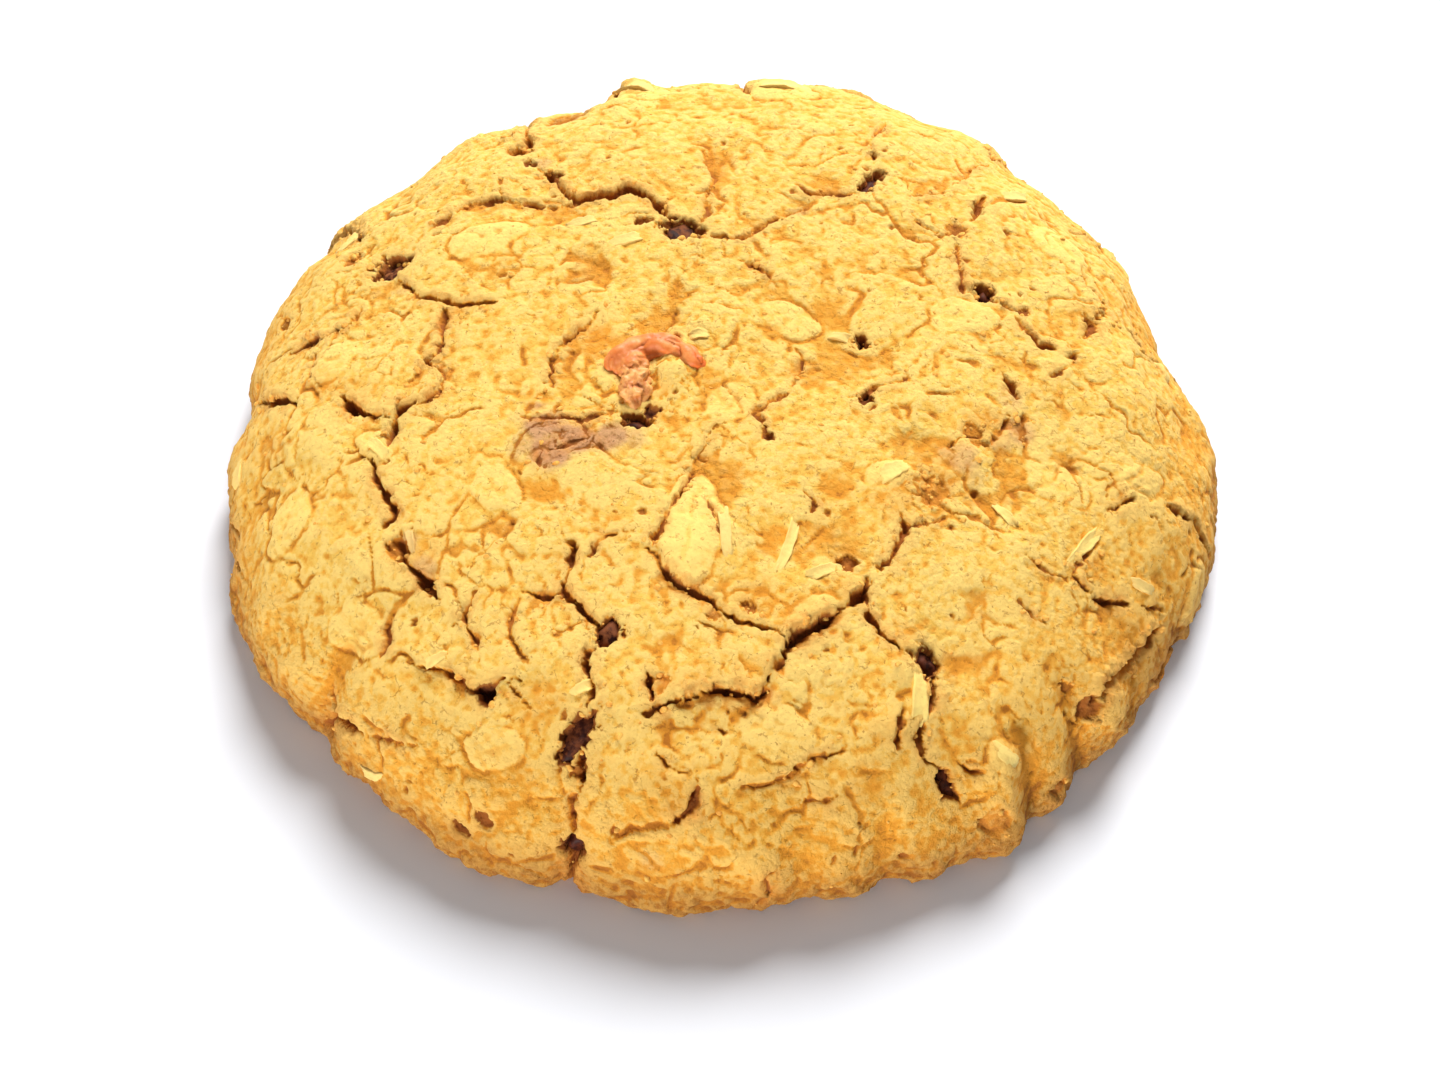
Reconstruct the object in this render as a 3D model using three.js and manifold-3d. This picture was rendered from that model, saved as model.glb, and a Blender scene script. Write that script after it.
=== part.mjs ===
// A cowboy cookie: a thick domed drop cookie with oat flakes baked into its crust,
// chocolate pieces in its cracks and one piece of pecan on top. Lengths are millimetres.
// +Z is up, the flat foot lies on z = 0, and -Y is the side nearest the viewer.
// Places on the crust are [u, v]: the direction from the middle of the top, and as
// length the distance walked from there over the dome and down the side.
import * as THREE from 'three';
import { mergeVertices } from 'three/addons/utils/BufferGeometryUtils.js';
import Module from 'manifold-3d';

const wasm = await Module();
wasm.setup();

const cookie = {
  radius: 41,           // mean plan radius at the widest line
  height: 18,           // of the dome, before lumps
  widestHeight: 2.6,    // height of the widest line above the tray
  footInset: 1.8,       // how far the foot lies inside the widest line
  shoulderPower: 3.3,   // dome section: (x / radius) ^ power + (z / rise) ^ 2 = 1
  spacing: 1.45         // distance between points of the crust's mesh
};

// how far the rim lies outside the mean radius, every 15 degrees from +X towards +Y
const rimOffsets = [
  0.5, -1.0, -0.3, -0.4, 1.3, 1.7, 1.3, 0.2, -0.2, 0.5, 0.3, -0.2,
  -0.5, 0.3, 0.4, 0.3, 1.4, 1.0, 1.1, 1.2, 1.0, 0.2, -0.3, 0.7
];

// [degrees, half width in degrees, depth]: clefts in the rim, and lobes where depth is negative
const rimClefts = [
  [15, 3, 0.5], [38, 3, 0.4], [48, 3, 0.7], [62, 3, 0.5], [73, 4, -0.4], [88, 2.5, 0.9],
  [107, 3, 0.9], [120, 3.5, 1.3], [133, 4, 0.5], [148, 3, 0.5], [160, 4, -0.3], [174, 4, 0.9],
  [193, 2.5, 0.7], [207, 4, -0.3], [220, 2.5, 1.2], [236, 3, 0.4], [254, 2.5, 1.0], [266, 4, -0.4],
  [279, 2.5, 0.6], [288, 2, 0.6], [302, 2.5, -1.2], [306, 2, 0.7], [314, 2.5, 1.0], [330, 4, -0.3]
];

const lumps = [
  { size: 9.5, height: 1.1 },    // swells and hollows of the dome
  { size: 4.6, height: 0.75 },   // knobs of dough
  { size: 2.3, height: 0.3 }     // crumb
];
const waver = { size: 2.6, reach: 0.8 };    // cracks stray sideways by up to half the reach
const crackEnd = 1.6;                       // length over which a crack runs out
const crackLip = 0.22;                      // height of the raised lips, as a share of the depth

// [width, depth, route]
const cracks = [
  [1.0, 1.3, [[-15.5, 23], [-12.5, 18.5], [-8.5, 18.5], [-6.5, 18], [-4.5, 15.5], [-2, 13]]],
  [0.7, 0.7, [[-24.5, 16], [-20.5, 18], [-18.5, 18], [-14, 17], [-8.5, 18.5]]],
  [0.9, 1.1, [[-30, 13.5], [-27.5, 12.5], [-25.5, 9.5], [-23, 7.5], [-21.5, 6.5], [-18, 6]]],
  [0.8, 1.2, [[-30, 9], [-31.5, 7], [-33.5, 6], [-35, 7.5]]],
  [0.7, 0.8, [[-33.5, 6], [-34.5, 2], [-37, 0]]],
  [0.9, 1.6, [[-22.5, 5], [-23, 1], [-22, -1.5], [-22.5, -3.5], [-25, -4], [-26, -5.5], [-26, -8]]],
  [0.9, 1.6, [[-30.5, -2.5], [-28.5, -4.5], [-26, -5.5]]],
  [1.2, 1.3, [[-42, 3.5], [-38, 1], [-35, -0.5]]],
  [0.8, 1.2, [[-26.5, -9], [-26, -12.5], [-25, -14.5], [-25, -17.5]]],
  [0.8, 1.4, [[-23.5, -19.5], [-21.5, -22], [-19.5, -24.5], [-17.5, -29.5]]],
  [0.7, 1.0, [[-10, 3.5], [-12, 2], [-13.5, -1], [-13.5, -3]]],
  [0.7, 1.0, [[-7.5, -17], [-9.5, -18], [-11, -18.5], [-11.5, -22], [-10, -23.5], [-8.5, -25.5]]],
  [0.7, 0.6, [[-11.5, -22], [-14.5, -22], [-15, -25.5], [-14, -27.5]]],
  [0.9, 1.0, [[-23.5, -27], [-21, -28], [-19, -29], [-17.5, -29.5], [-16, -28.5]]],
  [1.0, 1.9, [[-8.5, -26], [-9.5, -27.5], [-9.5, -30], [-10.5, -36], [-12, -40], [-12, -42], [-13.5, -47]]],
  [0.9, 1.3, [[-36.5, -30.5], [-33, -30], [-31, -30.5], [-27, -32], [-24, -33]]],
  [1.1, 2.1, [[-5.5, -29], [-4.5, -31.5], [-1, -30.5], [1.5, -31], [3.5, -29], [7.5, -25], [11, -23]]],
  [0.7, 1.0, [[-0.5, -8], [-2, -12.5], [-4.5, -18], [-4, -20.5], [-0.5, -23.5], [2.5, -26], [4.5, -27.5]]],
  [0.8, 1.2, [[-1.5, -37.5], [-2, -39.5], [-3, -40.5], [-5.5, -41], [-8, -42.5]]],
  [0.8, 0.8, [[1, -38], [4, -37.5], [5.5, -37], [7.5, -35.5], [9.5, -34.5]]],
  [1.0, 1.8, [[11, -23], [12, -25.5], [15.5, -27.5], [16, -32], [15.5, -34.5], [17.5, -35], [19, -38]]],
  [2.0, 1.1, [[27.5, 1], [24.5, -3.5], [22.5, -7.5], [19.5, -10.5], [16, -12.5], [11.5, -15], [8, -16.5]]],
  [0.7, 1.1, [[13.5, -15], [14, -17], [13.5, -18.5], [11.5, -21], [11, -23]]],
  [0.7, 1.1, [[30, -21], [32, -20.5], [34, -20]]],
  [1.0, 1.4, [[37.5, -21.5], [35.5, -24.5], [33.5, -26], [31.5, -29], [32, -31.5]]],
  [0.7, 0.8, [[37, -10.5], [40.5, -10], [43.5, -10.5]]],
  [0.8, 0.7, [[16, 16.5], [16.5, 19], [19.5, 19.5], [20.5, 22], [24.5, 29]]],
  [0.7, 1.1, [[18, 14.5], [20, 12], [20.5, 8], [25.5, 6], [25.5, 3], [27.5, 1]]],
  [1.0, 1.1, [[32, 15], [32.5, 10.5], [33, 7.5], [30, 3.5], [27.5, 1]]],
  [0.8, 0.9, [[12.5, 19.5], [9, 18], [7, 16], [4.5, 14.5], [2.5, 12.5], [-1, 13]]],
  [0.7, 0.7, [[-1.5, 14.5], [-1, 17], [-0.5, 21.5], [-1, 24]]],
  // the side away from the viewer
  [1.0, 1.4, [[-21, 42], [-18.5, 36], [-17, 30], [-16.5, 25.5]]],
  [0.9, 1.2, [[4, 46], [3.5, 41], [5.5, 37.5], [3, 34]]],
  [0.9, 1.2, [[27, 36], [24, 33], [24.5, 29]]],
  [1.0, 1.3, [[-38, 25], [-33, 22.5], [-31, 18], [-31, 15]]],
  [0.8, 1.0, [[5.5, 37.5], [11, 39], [15, 36.5], [18, 37.5]]],
  [0.8, 1.0, [[46, 6], [41, 7.5], [37, 7], [34, 9]]]
];

// [[u, v], radius, depth]: open hollows in the crust
const hollows = [
  [[-17, 25.5], 1.7, 1.4], [[-14.5, 21], 1.8, 0.7], [[22.5, 18], 1.7, 1.5], [[11.5, 2], 0.9, 0.9],
  [[-17.5, -29.5], 1.3, 1.0], [[-21.5, -40.5], 1.0, 0.9], [[31.5, -29.5], 1.8, 1.3],
  [[29.5, -36], 1.6, 1.1], [[23.5, -38.5], 3.0, 0.9], [[-25, -17.5], 1.7, 1.2], [[-31, 15], 1.5, 1.0],
  [[31.5, 6.5], 2.2, 0.7], [[20.5, -9.5], 2.4, 0.5], [[-2, 42], 1.8, 1.2], [[34, 28], 1.7, 1.1],
  [[-30, 34], 1.6, 1.1]
];

// [u, v], length, width, thickness, turn in degrees: each sits in a pit of its own
const chocolates = [
  { at: [-27.5, 12.8], size: [3.3, 2.8, 2.2], turn: 20 },
  { at: [-3.1, 13.6], size: [4.4, 2.8, 2.4], turn: -25 },
  { at: [12.4, 19.6], size: [3.4, 2.0, 2.0], turn: 55 },
  { at: [22.4, 8.0], size: [2.2, 1.7, 1.7], turn: 80 },
  { at: [-8.1, -25.7], size: [3.0, 2.5, 2.2], turn: 70 },
  { at: [-10.6, -33.8], size: [5.4, 2.6, 2.4], turn: 55 },
  { at: [-12.2, -43.4], size: [2.8, 2.6, 2.4], turn: 0 },
  { at: [15.7, -27.7], size: [2.9, 2.2, 2.2], turn: -60 },
  { at: [18.3, -37.0], size: [3.8, 1.7, 2.0], turn: -65 },
  { at: [-6.6, -7.0], size: [3.4, 1.7, 1.7], turn: -10 }
];
const chocolatePit = { margin: 0.5, depth: 1.1, sink: 0.25 };   // sink: share of the thickness below the pit

// The pecan piece: a bowed ridge, its broken lower lobe and a small crumb of its edge.
// Each lobe is [u, v] from the piece's middle, length, width, thickness, turn in degrees.
const pecan = { at: [-5.2, -1.6], lift: 0.35 };
const pecanLobes = [
  { offset: [-2.0, 1.4], size: [4.2, 2.7, 3.0], turn: 40 },
  { offset: [0.3, 2.2], size: [4.6, 2.7, 3.2], turn: 0 },
  { offset: [2.6, 1.2], size: [3.8, 2.2, 2.6], turn: -35 },
  { offset: [-1.4, -1.7], size: [4.4, 2.6, 2.6], turn: 80 }
];

// Oat flakes: [u, v], length, width, turn in degrees, tilt in degrees
const flakes = [
  { at: [-1.4, -16.6], size: [8.6, 5.0], turn: 78, tilt: 9 },
  { at: [2.0, -17.6], size: [6.6, 2.6], turn: 88, tilt: 14 },
  { at: [5.4, -18.6], size: [6.0, 2.0], turn: 76, tilt: 20 },
  { at: [8.4, -20.9], size: [4.4, 1.9], turn: 30, tilt: 24 },
  { at: [13.8, -12.0], size: [4.4, 3.0], turn: 25, tilt: 8 },
  { at: [22.8, -15.0], size: [4.4, 2.0], turn: -50, tilt: 22 },
  { at: [29.2, -16.9], size: [5.4, 2.2], turn: 48, tilt: 22 },
  { at: [35.6, -18.2], size: [4.0, 2.2], turn: -10, tilt: 12 },
  { at: [33.8, -9.4], size: [6.2, 4.0], turn: 18, tilt: 5 },
  { at: [14.0, -30.6], size: [5.6, 3.0], turn: 88, tilt: 30 },
  { at: [22.2, -33.6], size: [4.6, 3.2], turn: -35, tilt: 10 },
  { at: [-27.2, -7.6], size: [4.4, 2.6], turn: -45, tilt: 16 },
  { at: [-23.7, -16.6], size: [4.0, 2.0], turn: -75, tilt: 20 },
  { at: [-7.6, 12.4], size: [4.4, 2.4], turn: 12, tilt: 12 },
  { at: [-9.9, -29.8], size: [3.6, 2.0], turn: 35, tilt: 16 },
  { at: [-5.0, -43.8], size: [5.2, 3.2], turn: 5, tilt: 8 },
  { at: [5.8, 34.6], size: [6.4, 4.0], turn: 3, tilt: 8 },
  { at: [-7.0, 36.0], size: [5.0, 3.6], turn: -20, tilt: 10 },
  { at: [-19.0, 13.4], size: [7.0, 4.6], turn: 15, tilt: 5 },
  { at: [29.6, 15.6], size: [6.4, 4.4], turn: -40, tilt: 6 },
  { at: [-35.0, -12.5], size: [6.0, 4.2], turn: 70, tilt: 6 },
  { at: [-29.0, -24.0], size: [6.2, 4.2], turn: -30, tilt: 6 },
  { at: [4.6, -33.6], size: [6.6, 4.6], turn: -12, tilt: 5 },
  { at: [38.0, 22.0], size: [6.0, 4.0], turn: 70, tilt: 8 },
  { at: [16.0, 43.0], size: [6.0, 3.8], turn: 20, tilt: 8 },
  { at: [-36.5, 27.5], size: [6.0, 4.0], turn: 60, tilt: 8 },
  { at: [-12.0, 44.5], size: [5.6, 3.8], turn: -15, tilt: 8 },
  { at: [43.0, -16.0], size: [5.4, 3.6], turn: 65, tilt: 8 }
];
const flake = { thickness: 0.75, proud: 0.3, sides: 10, innerShare: 0.66 };
const gap = 0.36;      // left round each piece that sits in the dough

const radians = THREE.MathUtils.degToRad;

// ---- the smooth body ----

// Points of the half section from the top's middle to the foot, with the distance walked.
function makeSection(domeSteps = 300, lowerSteps = 40) {
  const points = [];
  for (let i = 0; i <= domeSteps; i++) {
    const a = (i / domeSteps) * Math.PI / 2;
    const rise = cookie.height - cookie.widestHeight;
    points.push({
      r: cookie.radius * Math.sin(a) ** (2 / cookie.shoulderPower),
      z: cookie.widestHeight + rise * Math.cos(a)
    });
  }
  for (let i = 1; i <= lowerSteps; i++) {
    const a = (i / lowerSteps) * Math.PI / 2;
    points.push({
      r: cookie.radius - cookie.footInset * (1 - Math.cos(a)),
      z: cookie.widestHeight * (1 - Math.sin(a))
    });
  }
  let walked = 0;
  points.forEach((point, i) => {
    if (i > 0) walked += Math.hypot(point.r - points[i - 1].r, point.z - points[i - 1].z);
    point.s = walked;
  });
  return points;
}

const section = makeSection();
const walkToFoot = section[section.length - 1].s;

function sectionAt(s) {
  let low = 0;
  let high = section.length - 1;
  while (high - low > 1) {
    const middle = (low + high) >> 1;
    if (section[middle].s <= s) low = middle;
    else high = middle;
  }
  const a = section[low];
  const b = section[high];
  const share = THREE.MathUtils.clamp((s - a.s) / (b.s - a.s), 0, 1);
  const length = Math.hypot(b.r - a.r, b.z - a.z);
  return {
    share: (a.r + (b.r - a.r) * share) / cookie.radius,
    z: a.z + (b.z - a.z) * share,
    slopeR: (b.r - a.r) / length,
    slopeZ: (b.z - a.z) / length
  };
}

function planRadius(angle) {
  const count = rimOffsets.length;
  const turns = angle / (2 * Math.PI);
  const place = (turns - Math.floor(turns)) * count;
  const i = Math.floor(place);
  const f = place - i;
  const ease = f * f * (3 - 2 * f);
  const from = rimOffsets[i % count];
  const to = rimOffsets[(i + 1) % count];
  return cookie.radius + from + (to - from) * ease;
}

// Depth of the rim's clefts at an angle; they fade out over the shoulder.
function cleftDepth(angle, share) {
  const degrees = THREE.MathUtils.radToDeg(angle);
  const fade = THREE.MathUtils.smoothstep(share, 0.8, 0.97);
  let depth = 0;
  for (const [at, halfWidth, deep] of rimClefts) {
    const away = ((degrees - at + 540) % 360 + 360) % 360 - 180;
    depth += deep * Math.exp(-((away / halfWidth) ** 2));
  }
  return depth * fade;
}

function smoothPoint(s, angle) {
  const at = sectionAt(s);
  const r = at.share * planRadius(angle) - cleftDepth(angle, at.share);
  return new THREE.Vector3(r * Math.cos(angle), r * Math.sin(angle), at.z);
}

function smoothNormal(s, angle) {
  const at = sectionAt(s);
  return new THREE.Vector3(-at.slopeZ * Math.cos(angle), -at.slopeZ * Math.sin(angle), at.slopeR).normalize();
}

const toWalk = ([u, v]) => ({ s: Math.hypot(u, v), angle: Math.atan2(v, u) });

function smoothPlace(uv) {
  const { s, angle } = toWalk(uv);
  return smoothPoint(s, angle);
}

// ---- relief ----

function hash(i, j, k) {
  const value = Math.sin(i * 12.9898 + j * 78.233 + k * 37.719) * 4375.5453;
  return value - Math.floor(value);
}

// Smooth noise from -0.5 to 0.5 with lumps one unit across.
function noise(x, y, z) {
  const i = Math.floor(x);
  const j = Math.floor(y);
  const k = Math.floor(z);
  const ease = (t) => t * t * (3 - 2 * t);
  const [fx, fy, fz] = [ease(x - i), ease(y - j), ease(z - k)];
  const mix = (a, b, t) => a + (b - a) * t;
  const edge = (dj, dk) => mix(hash(i, j + dj, k + dk), hash(i + 1, j + dj, k + dk), fx);
  return mix(mix(edge(0, 0), edge(1, 0), fy), mix(edge(0, 1), edge(1, 1), fy), fz) - 0.5;
}

function strayed(point) {
  const { x, y, z } = point.clone().divideScalar(waver.size);
  return new THREE.Vector3(
    point.x + waver.reach * noise(x + 11.3, y, z),
    point.y + waver.reach * noise(x, y + 23.7, z),
    point.z + waver.reach * noise(x, y, z + 37.1)
  );
}

// Each route as points about a millimetre apart on the smooth body.
const crackLines = cracks.map(([width, depth, route]) => {
  const points = [];
  for (let i = 1; i < route.length; i++) {
    const [u0, v0] = route[i - 1];
    const [u1, v1] = route[i];
    const steps = Math.ceil(Math.hypot(u1 - u0, v1 - v0));
    for (let k = i === 1 ? 0 : 1; k <= steps; k++) {
      points.push(smoothPlace([u0 + (u1 - u0) * k / steps, v0 + (v1 - v0) * k / steps]));
    }
  }
  const box = new THREE.Box3().setFromPoints(points).expandByScalar(4 * width);
  return { width, depth, points, box };
});

const pits = [
  ...hollows.map(([at, radius, depth]) => ({ centre: smoothPlace(at), radius, depth })),
  ...chocolates.map(({ at, size }) => ({
    centre: smoothPlace(at),
    radius: (size[0] + size[1]) / 4 + chocolatePit.margin,
    depth: chocolatePit.depth
  }))
];

function crackRelief(point) {
  let height = 0;
  const nearest = new THREE.Vector3();
  const segment = new THREE.Line3();
  for (const { width, depth, points, box } of crackLines) {
    if (!box.containsPoint(point)) continue;
    let best = Infinity;
    let toEnd = 0;
    for (let i = 1; i < points.length; i++) {
      segment.set(points[i - 1], points[i]).closestPointToPoint(point, true, nearest);
      const away = nearest.distanceTo(point);
      if (away < best) {
        best = away;
        toEnd = Math.min(nearest.distanceTo(points[0]), nearest.distanceTo(points[points.length - 1]));
      }
    }
    const fade = Math.min(1, 0.25 + toEnd / crackEnd);
    const groove = Math.exp(-((best / width) ** 2));
    const lip = Math.exp(-(((best - 1.9 * width) / width) ** 2));
    height += depth * fade * (crackLip * lip - groove);
  }
  return height;
}

function pitRelief(point) {
  return pits.reduce((sum, { centre, radius, depth }) => {
    const away = centre.distanceTo(point) / radius;
    return away > 2.2 ? sum : sum - depth * Math.exp(-(away ** 3));
  }, 0);
}

function relief(point, s) {
  const lumpy = lumps.reduce(
    (sum, { size, height }) => sum + height * noise(point.x / size, point.y / size, point.z / size), 0);
  const place = strayed(point);
  const footFade = THREE.MathUtils.smoothstep(walkToFoot - s, 0, cookie.widestHeight);
  return (lumpy + Math.max(crackRelief(place) + pitRelief(place), -2.4)) * footFade;
}

function crustPoint(s, angle) {
  const point = smoothPoint(s, angle);
  return point.addScaledVector(smoothNormal(s, angle), relief(point, s));
}

// ---- solids ----

function solidFrom(positions, triangles) {
  return new wasm.Manifold(new wasm.Mesh({
    numProp: 3,
    vertProperties: Float32Array.from(positions),
    triVerts: Uint32Array.from(triangles)
  }));
}

function solidFromGeometry(geometry) {
  const bare = geometry.clone();
  bare.deleteAttribute('normal');
  bare.deleteAttribute('uv');
  const merged = mergeVertices(bare, 1e-5);
  return solidFrom(merged.attributes.position.array, merged.index.array);
}

function meshFrom(solid, name, material) {
  const mesh = solid.getMesh();
  const geometry = new THREE.BufferGeometry();
  geometry.setAttribute('position', new THREE.BufferAttribute(Float32Array.from(mesh.vertProperties), 3));
  geometry.setIndex(new THREE.BufferAttribute(Uint32Array.from(mesh.triVerts), 1));
  geometry.computeVertexNormals();
  const object = new THREE.Mesh(geometry, material);
  object.name = name;
  return object;
}

// Rings of points from the top's middle to the foot, with a flat fan for the underside.
function makeCrust() {
  const ringCount = Math.round(walkToFoot / cookie.spacing);
  const positions = [];
  const triangles = [];
  const rings = [];
  const push = (point) => positions.push(point.x, point.y, point.z) / 3 - 1;
  const middle = push(crustPoint(0, 0));
  for (let i = 1; i <= ringCount; i++) {
    const s = walkToFoot * i / ringCount;
    const around = 2 * Math.PI * sectionAt(s).share * cookie.radius;
    const count = Math.max(6, Math.round(around / cookie.spacing));
    const phase = (i % 2) * 0.5 + hash(i, 3, 7);
    const ring = [];
    for (let k = 0; k < count; k++) {
      const angle = (k + phase) / count * 2 * Math.PI;
      const point = crustPoint(s, angle);
      if (i === ringCount) point.z = 0;
      ring.push({ index: push(point), angle });
    }
    rings.push(ring);
  }
  rings[0].forEach((corner, k) => {
    triangles.push(middle, corner.index, rings[0][(k + 1) % rings[0].length].index);
  });
  for (let i = 1; i < rings.length; i++) zip(rings[i - 1], rings[i], triangles);
  const foot = rings[rings.length - 1];
  const under = push(new THREE.Vector3(0, 0, 0));
  foot.forEach((corner, k) => {
    triangles.push(under, foot[(k + 1) % foot.length].index, corner.index);
  });
  return solidFrom(positions, triangles);
}

// Fills the band between two rings, always stepping along the ring that lags behind.
function zip(inner, outer, triangles) {
  const turn = 2 * Math.PI;
  const at = (ring, k) => ring[k % ring.length].angle + turn * Math.floor(k / ring.length);
  const index = (ring, k) => ring[k % ring.length].index;
  let start = 0;
  while (at(outer, start) < at(inner, 0)) start++;
  let a = 0;
  let b = start;
  while (a < inner.length || b < start + outer.length) {
    const stepOuter = a >= inner.length || (b < start + outer.length && at(outer, b + 1) <= at(inner, a + 1));
    if (stepOuter) {
      triangles.push(index(inner, a), index(outer, b), index(outer, b + 1));
      b++;
    } else {
      triangles.push(index(inner, a), index(outer, b), index(inner, a + 1));
      a++;
    }
  }
}

// A frame on the crust: +Z along its normal, +X along u as far as the slope allows.
function frameOn(uv, turn, tilt = 0, height = 0) {
  const { s, angle } = toWalk(uv);
  const up = smoothNormal(s, angle);
  const along = new THREE.Vector3(1, 0, 0).addScaledVector(up, -up.x).normalize();
  const across = new THREE.Vector3().crossVectors(up, along);
  const origin = crustPoint(s, angle).addScaledVector(up, height);
  return new THREE.Matrix4().makeBasis(along, across, up)
    .setPosition(origin)
    .multiply(new THREE.Matrix4().makeRotationZ(radians(turn)))
    .multiply(new THREE.Matrix4().makeRotationX(radians(tilt)));
}

// A rolled oat: an egg-shaped disc with domed faces and a crease along its upper face.
function makeFlake({ at, size, turn, tilt }, number) {
  const [length, width] = size;
  const { thickness, sides, innerShare, proud } = flake;
  const positions = [0, 0, thickness * 0.28];
  const triangles = [];
  const ringAt = (share, z, sag) => {
    for (let k = 0; k < sides; k++) {
      const a = k / sides * 2 * Math.PI;
      const uneven = 1 + 0.12 * (hash(number, k, 1) - 0.5);
      const x = share * uneven * length / 2 * Math.cos(a);
      const y = share * uneven * width / 2 * Math.sin(a) * (1 + 0.12 * Math.cos(a));
      positions.push(x, y, z - sag * (2 * x / length) ** 2);
    }
  };
  ringAt(innerShare, thickness / 2, 0.1);
  ringAt(1, 0, 0.2);
  positions.push(0, 0, -thickness);
  const top = 0;
  const bottom = 1 + 2 * sides;
  for (let k = 0; k < sides; k++) {
    const next = (k + 1) % sides;
    const [inner, innerNext, rim, rimNext] = [1 + k, 1 + next, 1 + sides + k, 1 + sides + next];
    triangles.push(top, inner, innerNext, inner, rim, rimNext, inner, rimNext, innerNext, rim, bottom, rimNext);
  }
  const place = frameOn(at, turn, tilt, proud - thickness * 0.3);
  const point = new THREE.Vector3();
  for (let i = 0; i < positions.length; i += 3) {
    point.fromArray(positions, i).applyMatrix4(place).toArray(positions, i);
  }
  return solidFrom(positions, triangles);
}

// A rough ellipsoid; grow adds the same distance all round.
function makeNugget(size, number, grow = 0, rough = 0.22, detail = 1) {
  const geometry = mergeVertices(bareIcosahedron(detail), 1e-5);
  const position = geometry.attributes.position;
  const point = new THREE.Vector3();
  const [length, width, thickness] = size;
  for (let i = 0; i < position.count; i++) {
    point.fromBufferAttribute(position, i);
    const uneven = 1 + rough * noise(point.x * 1.7 + number * 5.3, point.y * 1.7, point.z * 1.7);
    point.multiplyScalar(uneven).multiply(new THREE.Vector3(length / 2, width / 2, thickness / 2));
    point.multiplyScalar(1 + grow / point.length());
    position.setXYZ(i, point.x, point.y, point.z);
  }
  return geometry;
}

function bareIcosahedron(detail) {
  const geometry = new THREE.IcosahedronGeometry(1, detail);
  geometry.deleteAttribute('normal');
  geometry.deleteAttribute('uv');
  return geometry;
}

function chocolateSolid({ at, size, turn }, number, grow) {
  const sunk = -size[2] * chocolatePit.sink;
  return solidFromGeometry(makeNugget(size, number, grow).applyMatrix4(frameOn(at, turn, 0, sunk)));
}

function pecanSolid(grow) {
  const base = frameOn(pecan.at, 0, 0, pecan.lift);
  return pecanLobes.map(({ offset, size, turn }, number) => {
    const local = new THREE.Matrix4().makeTranslation(offset[0], offset[1], 0)
      .multiply(new THREE.Matrix4().makeRotationZ(radians(turn)));
    return solidFromGeometry(makeNugget(size, 20 + number, grow, 0.2).applyMatrix4(local).applyMatrix4(base));
  }).reduce((joined, lobe) => joined.add(lobe));
}

const crustMaterial = new THREE.MeshStandardMaterial({ color: 0xeabd66, roughness: 0.85, metalness: 0 });
const chocolateMaterial = new THREE.MeshStandardMaterial({ color: 0x4a2413, roughness: 0.45, metalness: 0 });
const nutMaterial = new THREE.MeshStandardMaterial({ color: 0xd9824a, roughness: 0.6, metalness: 0 });

let dough = makeCrust();
flakes.forEach((one, number) => { dough = dough.add(makeFlake(one, number)); });
dough = dough.subtract(pecanSolid(gap));
chocolates.forEach((piece, number) => { dough = dough.subtract(chocolateSolid(piece, number, gap)); });

const group = new THREE.Group();
group.add(meshFrom(dough, 'dough', crustMaterial));
group.add(meshFrom(pecanSolid(0), 'pecan_piece', nutMaterial));
chocolates.forEach((piece, number) => {
  group.add(meshFrom(chocolateSolid(piece, number, 0), `chocolate_piece_${number + 1}`, chocolateMaterial));
});

// The origin is the middle of the cookie's plan box, on the tray.
const box = new THREE.Box3().setFromObject(group);
group.position.set(-(box.min.x + box.max.x) / 2, -(box.min.y + box.max.y) / 2, 0);

export default group;
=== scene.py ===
# A cowboy cookie: a thick domed drop cookie with a cracked golden crust, oat flakes,
# pieces of dark chocolate in its cracks and a broken piece of pecan on top.
# Shapes are worked out in millimetres and turned to metres when a mesh is made.
# A place on the crust is (u, v): its direction from the middle of the top, and as
# length the distance walked there over the dome and down the side.
import math
import bmesh
import bpy
import numpy as np
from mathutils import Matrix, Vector


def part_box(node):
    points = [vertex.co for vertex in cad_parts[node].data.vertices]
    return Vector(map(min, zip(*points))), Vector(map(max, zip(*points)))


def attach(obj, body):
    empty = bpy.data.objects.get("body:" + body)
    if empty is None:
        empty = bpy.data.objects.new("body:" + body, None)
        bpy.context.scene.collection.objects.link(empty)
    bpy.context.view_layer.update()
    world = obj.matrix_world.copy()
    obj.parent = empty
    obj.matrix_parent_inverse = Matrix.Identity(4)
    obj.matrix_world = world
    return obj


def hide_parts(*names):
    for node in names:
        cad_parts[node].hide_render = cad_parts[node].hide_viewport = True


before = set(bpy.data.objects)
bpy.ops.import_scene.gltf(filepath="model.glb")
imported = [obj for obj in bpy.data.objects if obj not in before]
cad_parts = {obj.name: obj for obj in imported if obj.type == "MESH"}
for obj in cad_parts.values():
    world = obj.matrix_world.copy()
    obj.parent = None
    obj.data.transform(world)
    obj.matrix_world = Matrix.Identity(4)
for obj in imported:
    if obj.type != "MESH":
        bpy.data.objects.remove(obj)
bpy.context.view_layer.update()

millimetre = 0.001
print("cookie: frame loaded, nodes", len(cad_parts))


# the smooth body

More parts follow.
